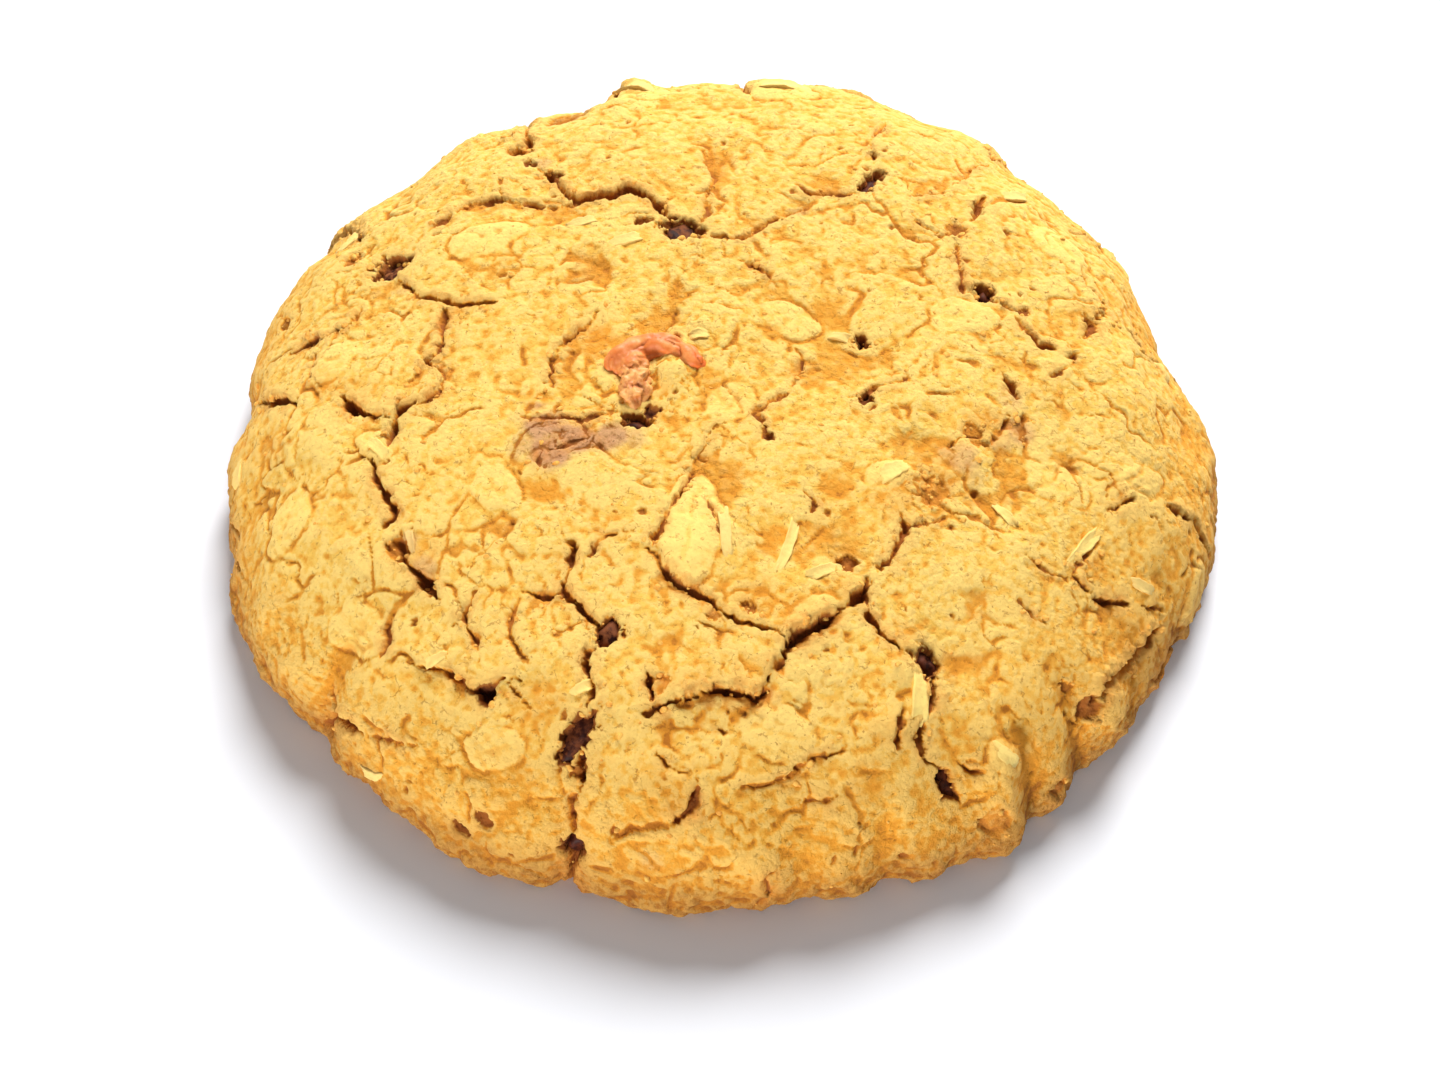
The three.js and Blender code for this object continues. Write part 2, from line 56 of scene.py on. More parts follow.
cookie = {
    "radius": 41.0,          # mean plan radius at the widest line
    "height": 18.0,
    "widestHeight": 2.6,
    "footInset": 1.8,
    "shoulderPower": 3.3,
    "spacing": 0.19,         # between points of the top and side
    "underSpacing": 1.2,     # between points of the underside
    # how far the rim lies outside the mean radius, every 15 degrees
    "rimOffsets": [0.5, -1.0, -0.3, -0.4, 1.3, 1.7, 1.3, 0.2, -0.2, 0.5, 0.3, -0.2,
                   -0.5, 0.3, 0.4, 0.3, 1.4, 1.0, 1.1, 1.2, 1.0, 0.2, -0.3, 0.7],
    # degrees, half width in degrees, depth
    "rimClefts": [(15, 3, 0.5), (38, 3, 0.4), (48, 3, 0.7), (62, 3, 0.5), (73, 4, -0.4),
                  (88, 2.5, 0.9), (107, 3, 0.9), (120, 3.5, 1.3), (133, 4, 0.5), (148, 3, 0.5),
                  (160, 4, -0.3), (174, 4, 0.9), (193, 2.5, 0.7), (207, 4, -0.3), (220, 2.5, 1.2),
                  (236, 3, 0.4), (254, 2.5, 1.0), (266, 4, -0.4), (279, 2.5, 0.6), (288, 2, 0.6),
                  (302, 2.5, -1.2), (306, 2, 0.7), (314, 2.5, 1.0), (330, 4, -0.3)],
    "lumps": [(9.5, 1.1), (4.6, 0.75), (2.3, 0.3)],     # size, height
}


def sectionTable(steps=1600, lowerSteps=200):
    # half section from the top's middle to the foot: distance walked, radius share, height, slopes
    a = np.linspace(0, math.pi / 2, steps)
    rise = cookie["height"] - cookie["widestHeight"]
    r = cookie["radius"] * np.sin(a) ** (2 / cookie["shoulderPower"])
    z = cookie["widestHeight"] + rise * np.cos(a)
    b = np.linspace(0, math.pi / 2, lowerSteps)[1:]
    r = np.concatenate([r, cookie["radius"] - cookie["footInset"] * (1 - np.cos(b))])
    z = np.concatenate([z, cookie["widestHeight"] * (1 - np.sin(b))])
    step = np.hypot(np.diff(r), np.diff(z))
    s = np.concatenate([[0], np.cumsum(step)])
    slopeR = np.gradient(r, s)
    slopeZ = np.gradient(z, s)
    return s, r / cookie["radius"], z, slopeR, slopeZ


sectionS, sectionShare, sectionZ, sectionSlopeR, sectionSlopeZ = sectionTable()
walkToFoot = sectionS[-1]


def smoothstep(value, low, high):
    t = np.clip((value - low) / (high - low), 0, 1)
    return t * t * (3 - 2 * t)


def planRadius(angle):
    offsets = np.array(cookie["rimOffsets"])
    place = (angle / (2 * math.pi)) % 1.0 * len(offsets)
    i = np.floor(place).astype(int)
    f = place - i
    ease = f * f * (3 - 2 * f)
    start = offsets[i % len(offsets)]
    return cookie["radius"] + start + (offsets[(i + 1) % len(offsets)] - start) * ease


def smoothPoint(s, angle):
    share = np.interp(s, sectionS, sectionShare)
    degrees = np.degrees(angle)
    cleft = np.zeros_like(degrees)
    for at, halfWidth, deep in cookie["rimClefts"]:
        away = (degrees - at + 180) % 360 - 180
        cleft += deep * np.exp(-(away / halfWidth) ** 2)
    r = share * planRadius(angle) - cleft * smoothstep(share, 0.8, 0.97)
    return np.stack([r * np.cos(angle), r * np.sin(angle), np.interp(s, sectionS, sectionZ)], -1)


def smoothNormal(s, angle):
    slopeR = np.interp(s, sectionS, sectionSlopeR)
    slopeZ = np.interp(s, sectionS, sectionSlopeZ)
    normal = np.stack([-slopeZ * np.cos(angle), -slopeZ * np.sin(angle), slopeR], -1)
    return normal / np.linalg.norm(normal, axis=-1, keepdims=True)


def walk(places):
    places = np.atleast_2d(np.array(places, float))
    return np.hypot(places[:, 0], places[:, 1]), np.arctan2(places[:, 1], places[:, 0])


def smoothPlace(places):
    return smoothPoint(*walk(places))


# noise that the relief is made of

def latticeHash(i, j, k):
    value = np.sin(i * 12.9898 + j * 78.233 + k * 37.719) * 4375.5453
    return value - np.floor(value)


def noise(points):
    # smooth noise from -0.5 to 0.5 with lumps one unit across
    cell = np.floor(points)
    f = points - cell
    f = f * f * (3 - 2 * f)
    i, j, k = cell.T
    fx, fy, fz = f.T

    def edge(dj, dk):
        a = latticeHash(i, j + dj, k + dk)
        return a + (latticeHash(i + 1, j + dj, k + dk) - a) * fx

    near = edge(0, 0) + (edge(1, 0) - edge(0, 0)) * fy
    far = edge(0, 1) + (edge(1, 1) - edge(0, 1)) * fy
    return near + (far - near) * fz - 0.5


def layeredNoise(points, size, layers, offset):
    total = np.zeros(len(points))
    for layer in range(layers):
        total += noise(points * (2 ** layer / size) + offset + 17.3 * layer) / 2 ** layer
    return total


def strayed(points, size, reach):
    moved = points.copy()
    for axis, shift in enumerate((11.3, 23.7, 37.1)):
        at = points / size
        at[:, axis] += shift
        moved[:, axis] += reach * noise(at)
    return moved


def grains(points, size, seed):
    # distance to the nearest and second nearest of scattered grain centres, and a number per grain
    at = points / size + seed
    cell = np.floor(at)
    first = np.full(len(points), 9.0)
    second = np.full(len(points), 9.0)
    number = np.zeros(len(points))
    for dx in (-1, 0, 1):
        for dy in (-1, 0, 1):
            for dz in (-1, 0, 1):
                i, j, k = (cell + (dx, dy, dz)).T
                own = latticeHash(i, j, k)
                centre = [i + own, j + latticeHash(j, k, i + 5), k + latticeHash(k, i + 9, j)]
                away = np.linalg.norm(np.stack(centre, -1) - at, axis=-1)
                closer = away < first
                second = np.where(closer, first, np.minimum(second, away))
                number = np.where(closer, own, number)
                first = np.where(closer, away, first)
    return first, second, number


# cracks, hollows and browning, placed from the photo

# half width, depth, darkness, step, route; darkness is how dark its inside is painted, brown crumb and
# painted shade; step is how far its left side stands above its right
cracks = [
    (0.34, 0.9, 0.85, 0.3, [(-15.5, 23), (-13.5, 20.5), (-12.3, 18.4), (-10.5, 18.1), (-8.7, 18.4),
                            (-7.8, 19.3), (-6.4, 18), (-4.9, 16.2), (-3.6, 14.8)]),
    (0.20, 0.4, 0.6, 0.35, [(-24.3, 15.8), (-22.3, 17.2), (-20.5, 18.2), (-18.4, 18.2), (-14.1, 17.3),
                            (-10.5, 18.1)]),
    (0.22, 0.5, 0.6, 0.0, [(-18.4, 18.2), (-18.1, 19.6), (-18.2, 21.2)]),
    (0.28, 0.6, 0.5, 0.3, [(-30, 13.5), (-27.5, 12.0), (-25.7, 9.4), (-24.5, 8.2), (-22.8, 7.4),
                           (-21.4, 6.4), (-18.2, 6.2)]),
    (0.20, 0.4, 0.5, 0.0, [(-12.2, 7.9), (-10.8, 8.1), (-9.4, 8.8)]),
    (0.26, 0.7, 0.7, -0.4, [(-30.2, 8.9), (-31.3, 6.9), (-33.5, 6.1), (-35.2, 7.3), (-37.5, 6.2)]),
    (0.25, 0.6, 0.6, 0.0, [(-34.0, 5.6), (-34.2, 3.8), (-34.4, 1.8), (-33.4, 0.2)]),
    (0.26, 0.9, 0.9, -0.3, [(-22.4, 6.0), (-22.8, 3.4), (-22.8, 1.1), (-23.6, 0.1), (-22.4, -0.8),
                            (-21.8, -1.7), (-22.3, -3.3), (-23.2, -3.9), (-25.0, -4.3)]),
    (0.80, 1.8, 1.0, -0.4, [(-24.2, -3.9), (-25.2, -4.5), (-25.8, -5.6)]),
    (0.30, 1.2, 0.9, 0.0, [(-25.8, -5.5), (-25.6, -6.8), (-25.7, -8.4)]),
    (0.55, 1.6, 1.0, 0.5, [(-30.9, -2.1), (-29.6, -3.4), (-28.6, -4.3)]),
    (0.28, 0.9, 0.7, 0.5, [(-28.6, -4.3), (-27.4, -5.0), (-26.0, -5.6)]),
    (0.45, 0.9, 0.7, 0.2, [(-42.5, 3.6), (-40.0, 1.8), (-38.0, 0.6), (-35.6, -0.6)]),
    (0.35, 1.0, 0.8, -0.2, [(-26.9, -9.2), (-26.7, -10.4), (-26.2, -12.5), (-25.1, -14.6),
                            (-25.8, -15.6)]),
    (0.50, 1.4, 0.9, 0.2, [(-23.7, -19.3), (-22.5, -20.7), (-21.4, -22.1)]),
    (0.28, 0.8, 0.7, 0.0, [(-24.6, -16.2), (-24.2, -18.6), (-23.0, -20.2)]),
    (0.30, 0.8, 0.7, 0.0, [(-18.5, -22.3), (-19.2, -23.9), (-20.4, -24.6)]),
    (0.22, 0.5, 0.5, 0.0, [(-19.2, -23.9), (-18.2, -25.4), (-17.6, -27.4)]),
    (0.24, 0.7, 0.75, -0.25, [(-9.6, 4.3), (-10.2, 3.6), (-11.9, 2.0), (-12.9, 0.6), (-13.4, -0.9),
                              (-13.1, -3.0)]),
    (0.24, 0.9, 0.8, 0.2, [(-10.9, -18.2), (-11.2, -20.0), (-11.5, -22.0), (-10.1, -23.3),
                           (-8.6, -25.2)]),
    (0.22, 0.6, 0.6, 0.0, [(-11.5, -22.0), (-13.0, -22.4), (-14.7, -22.0)]),
    (0.28, 0.8, 0.8, 0.0, [(-9.6, -19.4), (-8.9, -17.8), (-7.4, -17.2), (-6.2, -17.4)]),
    (0.30, 0.9, 0.9, 0.0, [(-11.3, -17.6), (-10.8, -18.4)]),
    (0.30, 0.5, 0.4, 0.2, [(-14.9, -22.6), (-15.4, -24.4), (-15.2, -25.9), (-14.2, -27.6)]),
    (0.24, 0.7, 0.5, 0.4, [(-24.2, -26.9), (-22.6, -27.6), (-21.1, -28.0), (-19.2, -28.8),
                           (-17.5, -29.7), (-16.0, -28.5), (-14.6, -28.8)]),
    (0.26, 0.5, 0.5, 0.0, [(-16.0, -28.5), (-15.0, -30.0), (-13.8, -31.2)]),
    (0.24, 0.6, 0.7, 0.0, [(-25.5, -22.9), (-25.9, -24.0), (-25.9, -25.5), (-26.6, -26.4)]),
    (0.30, 1.0, 0.7, 0.2, [(-8.4, -26.5), (-9.5, -27.3), (-9.7, -29.0), (-9.4, -30.6), (-9.8, -31.6)]),
    (0.45, 1.4, 0.8, 0.3, [(-10.6, -34.8), (-10.6, -36.4), (-10.9, -37.4)]),
    (0.50, 1.6, 0.9, 0.2, [(-10.9, -37.4), (-11.2, -38.6)]),
    (0.32, 1.2, 0.8, 0.2, [(-11.1, -38.4), (-12.0, -39.7), (-11.7, -40.8)]),
    (0.50, 1.3, 0.75, 0.0, [(-11.6, -40.8), (-11.9, -42.2)]),
    (0.45, 1.5, 0.9, 0.0, [(-12.1, -42.4), (-12.6, -44.8), (-13.6, -47.4), (-14.2, -49.5)]),
    (0.42, 1.2, 0.8, 0.2, [(-37.5, -30.6), (-35.9, -30.3), (-33.4, -29.9), (-31.2, -30.6),
                           (-29.4, -31.6)]),
    (0.25, 0.6, 0.6, 0.0, [(-29.4, -31.6), (-27.2, -32.2), (-24.0, -33.0)]),
    (0.25, 0.5, 0.5, 0.0, [(-33.4, -27.0), (-33.8, -28.4), (-33.2, -29.9)]),
    (0.45, 1.2, 0.9, 0.3, [(-5.4, -32.4), (-4.4, -31.9), (-3.4, -31.2)]),
    (0.42, 1.6, 0.85, 0.9, [(-3.4, -31.2), (-2.3, -30.8), (-1.2, -30.6), (0.1, -30.3), (1.6, -30.6),
                            (2.6, -31.0), (3.4, -30.3), (3.9, -29.3)]),
    (0.36, 1.2, 0.6, 0.8, [(3.9, -29.3), (4.3, -28.5), (4.9, -27.9)]),
    (0.42, 1.6, 0.9, 0.9, [(4.9, -27.9), (5.3, -27.0), (6.2, -26.1), (7.4, -25.1), (8.4, -24.5),
                           (9.4, -23.9)]),
    (0.30, 1.2, 0.8, 0.5, [(9.4, -23.9), (10.4, -23.2), (11.6, -21.8)]),
    (0.42, 1.6, 1.0, 0.0, [(-5.4, -29.3), (-5.3, -30.2), (-5.0, -31.2)]),
    (0.14, 0.4, 0.6, -0.25, [(0.8, -7.2), (-0.3, -7.9), (-1.4, -10.3), (-2.1, -12.7), (-2.9, -14.4)]),
    (0.26, 0.6, 0.45, -0.3, [(-2.9, -14.4), (-3.9, -16.2), (-4.7, -18.0), (-4.9, -19.2)]),
    (0.26, 0.8, 0.7, 0.3, [(-5.6, -19.0), (-4.4, -19.9), (-3.5, -21.0), (-2.5, -22.1), (-0.9, -23.1),
                           (0.0, -23.9)]),
    (0.30, 0.7, 0.5, 0.2, [(0.0, -23.9), (0.9, -24.8), (2.2, -25.1), (3.3, -25.6), (4.6, -26.1),
                           (5.2, -26.9)]),
    (0.28, 0.7, 0.7, 0.0, [(-4.5, -35.2), (-3.9, -35.7), (-2.9, -36.3)]),
    (0.24, 0.5, 0.4, 0.0, [(-2.9, -36.3), (-1.9, -36.4), (-1.3, -37.3)]),
    (0.16, 0.35, 0.6, 0.0, [(-4.6, -44.9), (-3.4, -44.8), (-2.2, -44.4)]),
    (0.38, 1.2, 0.9, 0.2, [(-1.4, -37.4), (-1.6, -38.6), (-2.3, -39.6), (-3.2, -40.2)]),
    (0.26, 0.4, 0.2, 0.3, [(-3.2, -40.2), (-5.5, -40.8), (-7.0, -41.3), (-8.4, -42.2)]),
    (0.20, 0.5, 0.4, 0.3, [(1.2, -38.4), (2.4, -37.6), (3.9, -37.4), (5.5, -36.9), (7.0, -35.6),
                           (9.4, -34.8)]),
    (0.25, 0.5, 0.5, 0.0, [(7.0, -38.8), (8.6, -38.4), (9.8, -37.6)]),
    (0.26, 0.8, 0.6, 0.3, [(11.3, -21.4), (11.0, -22.8), (11.5, -24.8), (12.6, -26.2), (13.9, -26.9),
                           (15.2, -27.4)]),
    (0.40, 1.5, 1.0, 0.0, [(16.3, -28.6), (16.2, -30.0), (15.9, -31.9)]),
    (0.38, 0.9, 0.5, 0.0, [(15.9, -31.9), (15.5, -33.6), (15.9, -35.0), (17.2, -35.6)]),
    (0.25, 0.7, 0.5, 0.0, [(13.6, -31.4), (13.4, -33.4), (14.2, -35.0)]),
    (0.26, 0.7, 0.7, 0.0, [(18.7, -34.9), (19.6, -35.6), (20.6, -35.2)]),
    (0.35, 0.9, 0.6, 0.3, [(13.9, -15.9), (14.3, -17.1), (13.8, -18.4), (13.0, -20.0), (12.0, -20.8)]),
    (0.22, 0.5, 0.6, 0.0, [(14.3, -17.1), (16.2, -16.4), (17.6, -15.4)]),
    (0.17, 0.4, 0.6, 0.0, [(23.3, -22.3), (24.6, -23.2), (26.2, -23.5)]),
    (0.30, 1.1, 1.0, 0.3, [(30.2, -20.6), (31.6, -20.6), (34.0, -20.1)]),
    (0.20, 0.5, 0.5, 0.3, [(34.8, -19.8), (36.0, -19.8), (37.8, -19.4)]),
    (0.55, 1.6, 0.9, -0.8, [(38.2, -20.6), (36.8, -23.0), (35.2, -24.6), (33.1, -26.1), (32.0, -27.3),
                            (31.2, -29.0)]),
    (0.16, 0.35, 0.6, 0.2, [(31.0, -16.2), (29.8, -17.6), (28.7, -19.0), (29.5, -19.9), (30.4, -20.3)]),
    (0.16, 0.35, 0.5, 0.2, [(24.4, -18.4), (25.4, -19.2), (26.3, -19.6), (28.3, -19.7)]),
    (0.45, 1.0, 0.5, 0.0, [(23.2, 19.8), (22.4, 18.2), (21.6, 16.7)]),
    (0.28, 0.7, 0.8, 0.0, [(31.2, -12.9), (32.2, -12.2), (33.2, -11.2)]),
    (0.24, 0.6, 0.6, 0.3, [(37.0, -10.4), (38.8, -10.4), (40.6, -9.9), (42.2, -11.0), (43.6, -11.4)]),
    (0.26, 0.6, 0.5, -0.3, [(15.8, 19.8), (16.7, 19.0), (19.3, 19.7), (20.3, 21.2), (21.4, 23.2),
                            (22.4, 25.4), (24.4, 27.6)]),
    (0.28, 0.8, 0.7, 0.0, [(16.2, 16.5), (17.2, 15.4), (18.2, 14.6)]),
    (0.24, 0.7, 0.7, 0.0, [(19.9, 13.0), (19.9, 11.0), (20.3, 8.6), (20.4, 7.8), (21.6, 7.6)]),
    (0.26, 0.8, 0.7, 0.2, [(22.8, 7.2), (24.0, 6.6), (25.3, 6.0)]),
    (0.26, 0.8, 0.6, 0.3, [(25.0, 5.4), (25.3, 4.0), (25.9, 2.6), (27.4, 1.9)]),
    (0.50, 0.8, 0.7, 0.0, [(31.4, 7.8), (31.9, 6.0), (30.6, 4.6)]),
    (0.40, 0.9, 0.8, 0.0, [(33.6, 10.4), (33.2, 8.6), (32.4, 7.4)]),
    (0.26, 0.8, 0.7, 0.3, [(27.4, 0.9), (28.6, 1.5), (29.9, 2.4)]),
    (0.26, 0.6, 0.5, 0.0, [(31.5, 14.0), (32.0, 11.8), (33.2, 10.2)]),
    (0.18, 0.5, 0.9, 0.0, [(26.4, -1.0), (27.2, -0.5), (27.8, 0.2)]),
    (0.35, 0.9, 0.7, 0.2, [(22.6, -0.9), (23.4, -2.4), (23.8, -3.6)]),
    (0.40, 0.8, 0.7, 0.3, [(23.0, -5.4), (22.2, -7.4), (21.2, -8.2)]),
    (0.40, 0.8, 0.7, 0.3, [(20.6, -7.4), (19.2, -7.8), (18.2, -9.0)]),
    (0.26, 0.6, 0.6, 0.2, [(14.4, 29.0), (13.7, 28.0), (12.9, 25.6), (12.4, 22.1)]),
    (0.26, 0.6, 0.7, 0.3, [(11.6, 18.6), (10.0, 18.0), (8.8, 18.3), (7.5, 18.0), (6.2, 19.2)]),
    (0.26, 0.5, 0.6, 0.3, [(7.4, 16.2), (5.6, 15.0), (4.2, 14.2)]),
    (0.26, 0.6, 0.7, 0.2, [(4.2, 14.2), (2.4, 12.8), (0.6, 12.4), (-0.6, 12.6)]),
    (0.24, 0.4, 0.4, 0.2, [(-1.6, 13.9), (-1.0, 15.4), (-0.8, 17.4), (-0.3, 19.6), (-0.7, 21.3),
                           (-1.2, 23.6)]),
    (0.18, 0.5, 0.7, 0.0, [(1.8, 9.8), (3.2, 8.7), (4.7, 7.0)]),
    (0.20, 0.5, 0.6, 0.0, [(6.3, 1.0), (6.7, -0.6), (6.6, -2.6), (5.6, -4.3)]),
    (0.20, 0.5, 0.6, 0.0, [(5.6, -4.3), (4.0, -5.0), (2.6, -6.4), (3.6, -7.6), (3.4, -8.8)]),
    (0.22, 0.5, 0.6, 0.0, [(0.4, -3.6), (1.0, -4.6), (1.8, -6.4)]),
    (0.22, 0.6, 0.9, 0.0, [(6.5, -14.0), (7.2, -15.0), (6.9, -15.8)]),
    (0.22, 0.5, 0.7, 0.0, [(10.4, -4.8), (11.6, -4.4), (12.4, -3.4), (14.8, -2.4)]),
    # chocolate just under the crust, left of the pecan
    (0.17, 0.35, 0.8, 0.0, [(-15.4, -6.2), (-13.5, -6.6), (-12.0, -6.3), (-10.8, -6.9), (-9.4, -6.4),
                            (-7.8, -6.3)]),
    (0.15, 0.3, 0.8, 0.0, [(-11.0, -6.9), (-10.4, -7.8), (-10.2, -8.8), (-9.4, -9.2), (-8.9, -9.9)]),
    (0.17, 0.3, 0.8, 0.0, [(-13.6, -9.6), (-12.6, -9.8), (-11.7, -9.5), (-11.0, -9.0), (-10.2, -8.8)]),
    (0.24, 0.4, 0.9, 0.0, [(-14.4, -9.0), (-13.7, -9.9), (-14.0, -11.1), (-13.0, -11.4)]),
    (0.10, 0.2, 0.4, 0.0, [(-14.0, -3.8), (-14.6, -5.0), (-15.4, -6.4)]),
    (0.13, 0.25, 0.7, 0.0, [(-12.7, -6.6), (-12.2, -7.9), (-12.8, -8.8), (-12.4, -9.8)]),
    # the crease of the big flake
    (0.12, 0.3, 0.6, 0.0, [(-0.8, -14.4), (-0.4, -15.8), (-0.1, -17.1), (0.1, -18.4), (0.1, -19.6)]),
    # the side away from the viewer
    (0.60, 1.3, 0.7, 0.0, [(-22.5, 46), (-21, 42), (-19.2, 39), (-18.0, 36), (-17.2, 33), (-17.0, 30),
                           (-16.5, 26.5)]),
    (0.55, 1.3, 0.8, 0.3, [(4.5, 49), (3.2, 45), (3.6, 42), (3.0, 40), (2.4, 37.5), (2.5, 35.6),
                           (3, 33.6)]),
    (0.50, 1.2, 0.8, 0.2, [(29, 39), (27, 36), (26, 34.4), (24, 33), (24.6, 31), (24.5, 28.6)]),
    (0.60, 1.3, 0.8, 0.3, [(-41, 27.6), (-38, 25), (-35.4, 24.4), (-33, 22.5), (-32.2, 20), (-31, 18)]),
    (0.36, 0.9, 0.7, 0.3, [(2.6, 37.5), (5.4, 39.6), (8.4, 39), (11, 39), (13, 37), (15, 36.5),
                           (18, 37.8), (21, 38.6)]),
    (0.40, 0.9, 0.7, 0.2, [(47, 6.5), (44.5, 6.4), (42, 7.6), (40, 7), (37.6, 7.2), (36, 8.6)]),
    (0.34, 0.8, 0.7, 0.2, [(-12, 47), (-10, 44), (-10.6, 41), (-8.6, 38.4), (-9.4, 36)]),
    (0.30, 0.7, 0.7, 0.2, [(40, 25), (37, 24.4), (35.6, 22), (33, 21.4), (31.4, 19.6)]),
    (0.30, 0.7, 0.7, 0.2, [(-46, -7), (-44, -9.6), (-44.4, -12), (-42, -14.6)]),
    (0.30, 0.7, 0.7, 0.2, [(3.4, -49), (4.6, -46.6), (4.0, -44.6), (5.6, -43.4)]),
    (0.30, 0.7, 0.7, 0.2, [(44, -20), (42.4, -21.4), (41.6, -24), (39.6, -25)]),
]

# place, radius, depth, darkness: open hollows in the crust; darkness is how dark the inside is painted,
# brown crumb and painted shade
hollows = [
    ((-17.1, 26.0), 1.3, 0.7, 0.2), ((-15.9, 23.6), 0.7, 0.6, 0.6), ((-13.9, 21.4), 0.7, 0.6, 0.6),
    ((11.5, 1.9), 0.62, 1.1, 1.0), ((-17.5, -29.7), 0.9, 1.1, 0.95), ((-21.7, -40.3), 0.8, 0.9, 0.8),
    ((-19.2, -39.6), 0.7, 0.6, 0.6), ((31.0, -29.6), 1.2, 0.7, 0.35), ((30.1, -36.4), 1.0, 0.5, 0.25),
    ((23.0, -39.2), 1.6, 0.25, 0.05), ((-24.9, -17.7), 1.1, 0.6, 0.15), ((-31.2, 15.2), 1.0, 0.4, 0.25),
    ((-34.6, 6.4), 0.7, 0.35, 0.3), ((20.0, 14.9), 1.0, 0.4, 0.3), ((25.8, 6.1), 0.6, 0.5, 0.4),
    ((20.2, -7.6), 1.0, 0.25, 0.15), ((23.4, -6.2), 1.3, 0.35, 0.12), ((16.8, -13.2), 1.6, 0.3, 0.05),
    ((28.7, -28.6), 0.7, 0.3, 0.25), ((2.4, -23.9), 0.6, 0.3, 0.3), ((-0.2, -24.4), 0.6, 0.3, 0.2),
    ((11.6, -4.6), 0.55, 0.6, 0.8), ((9.8, -20.0), 0.7, 0.5, 0.3), ((-10.9, -37.0), 0.6, 0.4, 0.3),
    ((-4.4, -30.0), 0.9, 0.3, 0.1), ((-6.4, 14.6), 0.7, 0.5, 0.5), ((-3.4, 1.2), 0.5, 0.5, 0.6),
    ((-5.0, -5.9), 0.5, 0.6, 0.95), ((3.9, -8.6), 0.45, 0.6, 0.7), ((-2, 42), 1.6, 0.5, 0.15),
    ((34, 28), 1.3, 0.5, 0.3), ((-30, 34), 1.2, 0.45, 0.25), ((12, 45), 0.7, 0.4, 0.3),
    ((-39, 12), 1.0, 0.35, 0.2),
]

# place, radius, strength: where the crust is toasted orange
toastedSpots = [
    ((26.0, -1.8), 2.2, 0.5), ((20.8, -6.6), 2.2, 1.0), ((17.6, -11.6), 2.6, 0.9),
    ((13.6, -14.6), 2.4, 0.8), ((9.2, -16.4), 2.2, 0.5), ((9.1, -22.3), 2.4, 0.9),
    ((5.5, -24.3), 2.6, 0.9), ((2.5, -23.0), 2.2, 0.9), ((-0.2, -24.3), 1.4, 0.9),
    ((-24.6, -17.8), 1.6, 1.0), ((-22.3, -18.0), 1.6, 0.9), ((-32.7, -0.2), 1.8, 0.8),
    ((-29.6, -2.0), 2.4, 0.6), ((-38.0, -4.2), 2.2, 0.9), ((-17.8, 9.6), 2.2, 0.6),
    ((-22.0, 5.6), 1.8, 0.5), ((-37.0, 6.0), 1.0, 0.8), ((-31.2, 8.4), 1.4, 0.7),
    ((35.3, 11.2), 1.7, 1.0), ((34.3, -0.9), 0.9, 0.8), ((31.0, 6.9), 2.2, 0.9),
    ((27.6, 5.0), 1.8, 0.6), ((14.2, -25.9), 1.8, 0.9), ((25.0, -34.8), 2.8, 1.0),
    ((30.5, -18.3), 1.3, 0.8), ((24.1, 20.8), 1.3, 0.9), ((36.4, -26.4), 2.6, 0.7),
    ((34.9, -22.9), 2.6, 0.8), ((11.7, -37.2), 2.2, 0.7), ((-16.2, -36.8), 2.8, 0.9),
    ((-13.2, -31.2), 2.4, 0.9), ((-18.8, -29.2), 1.4, 0.7), ((-4.0, -29.3), 1.6, 0.8),
    ((-1.3, -29.6), 2.0, 0.6), ((2.6, -29.6), 2.0, 0.8), ((-17.1, 26.2), 1.4, 1.0),
    ((-13.8, 21.3), 1.5, 0.5), ((-7.4, 36.6), 2.0, 0.7), ((-1.0, 16.4), 1.0, 0.8),
    ((0.2, 22.3), 1.2, 0.5), ((5.6, 30.0), 1.8, 0.5), ((-4.0, -38.3), 2.4, 0.8),
    ((-42.5, -13.8), 3.0, 0.5), ((-35.7, -19.4), 2.0, 0.4), ((20.0, 14.9), 1.6, 0.8),
    ((28.6, 3.0), 1.6, 0.4), ((0.0, -27.4), 1.5, 0.3), ((12.6, -33.0), 1.6, 0.7),
    ((-4.2, -4.3), 0.8, 1.0), ((-35, 30), 3.5, 0.6), ((20, 40), 4.0, 0.6), ((-10, 42), 3.5, 0.5),
    ((40, 14), 3.0, 0.5), ((10, -42), 4.0, 0.4),
]

# place, radius, strength: where the crust stayed pale
paleSpots = [
    ((-21.9, 15.3), 3.4, 0.6), ((-31.1, -6.2), 3.2, 0.7), ((-23.1, -7.0), 2.6, 0.8),
    ((20.5, 4.2), 3.2, 0.7), ((28.4, 10.4), 3.4, 0.8), ((33.9, -8.4), 3.6, 0.9),
    ((27.4, -7.0), 4.0, 0.8), ((-1.8, -17.6), 3.4, 0.7), ((-8.0, -21.2), 3.0, 0.8),
    ((7.4, -30.3), 3.6, 0.9), ((19.6, -24.6), 4.0, 0.8), ((-19.5, -25.4), 3.0, 0.8),
    ((1.6, -27.6), 2.4, 0.6), ((-7.3, -34.0), 2.8, 0.9), ((-30.9, -18.0), 3.0, 0.6),
    ((-9.0, 15.6), 2.4, 0.6), ((-28.1, 2.5), 3.4, 0.7), ((6.8, 25.6), 3.4, 0.5),
    ((18.0, 25.6), 3.0, 0.5), ((-10.5, 25.6), 2.8, 0.5), ((18.7, -19.8), 3.4, 0.6),
    ((31.0, -12.8), 3.0, 0.6), ((-6.8, -12.8), 3.2, 0.6), ((-10, -13), 3.4, 0.7),
    ((-19.6, -31.8), 2.6, 0.6), ((5.6, -40.0), 2.0, 0.3), ((12.0, 7.2), 3.0, 0.4),
    ((36.0, 3.0), 3.2, 0.6),
]

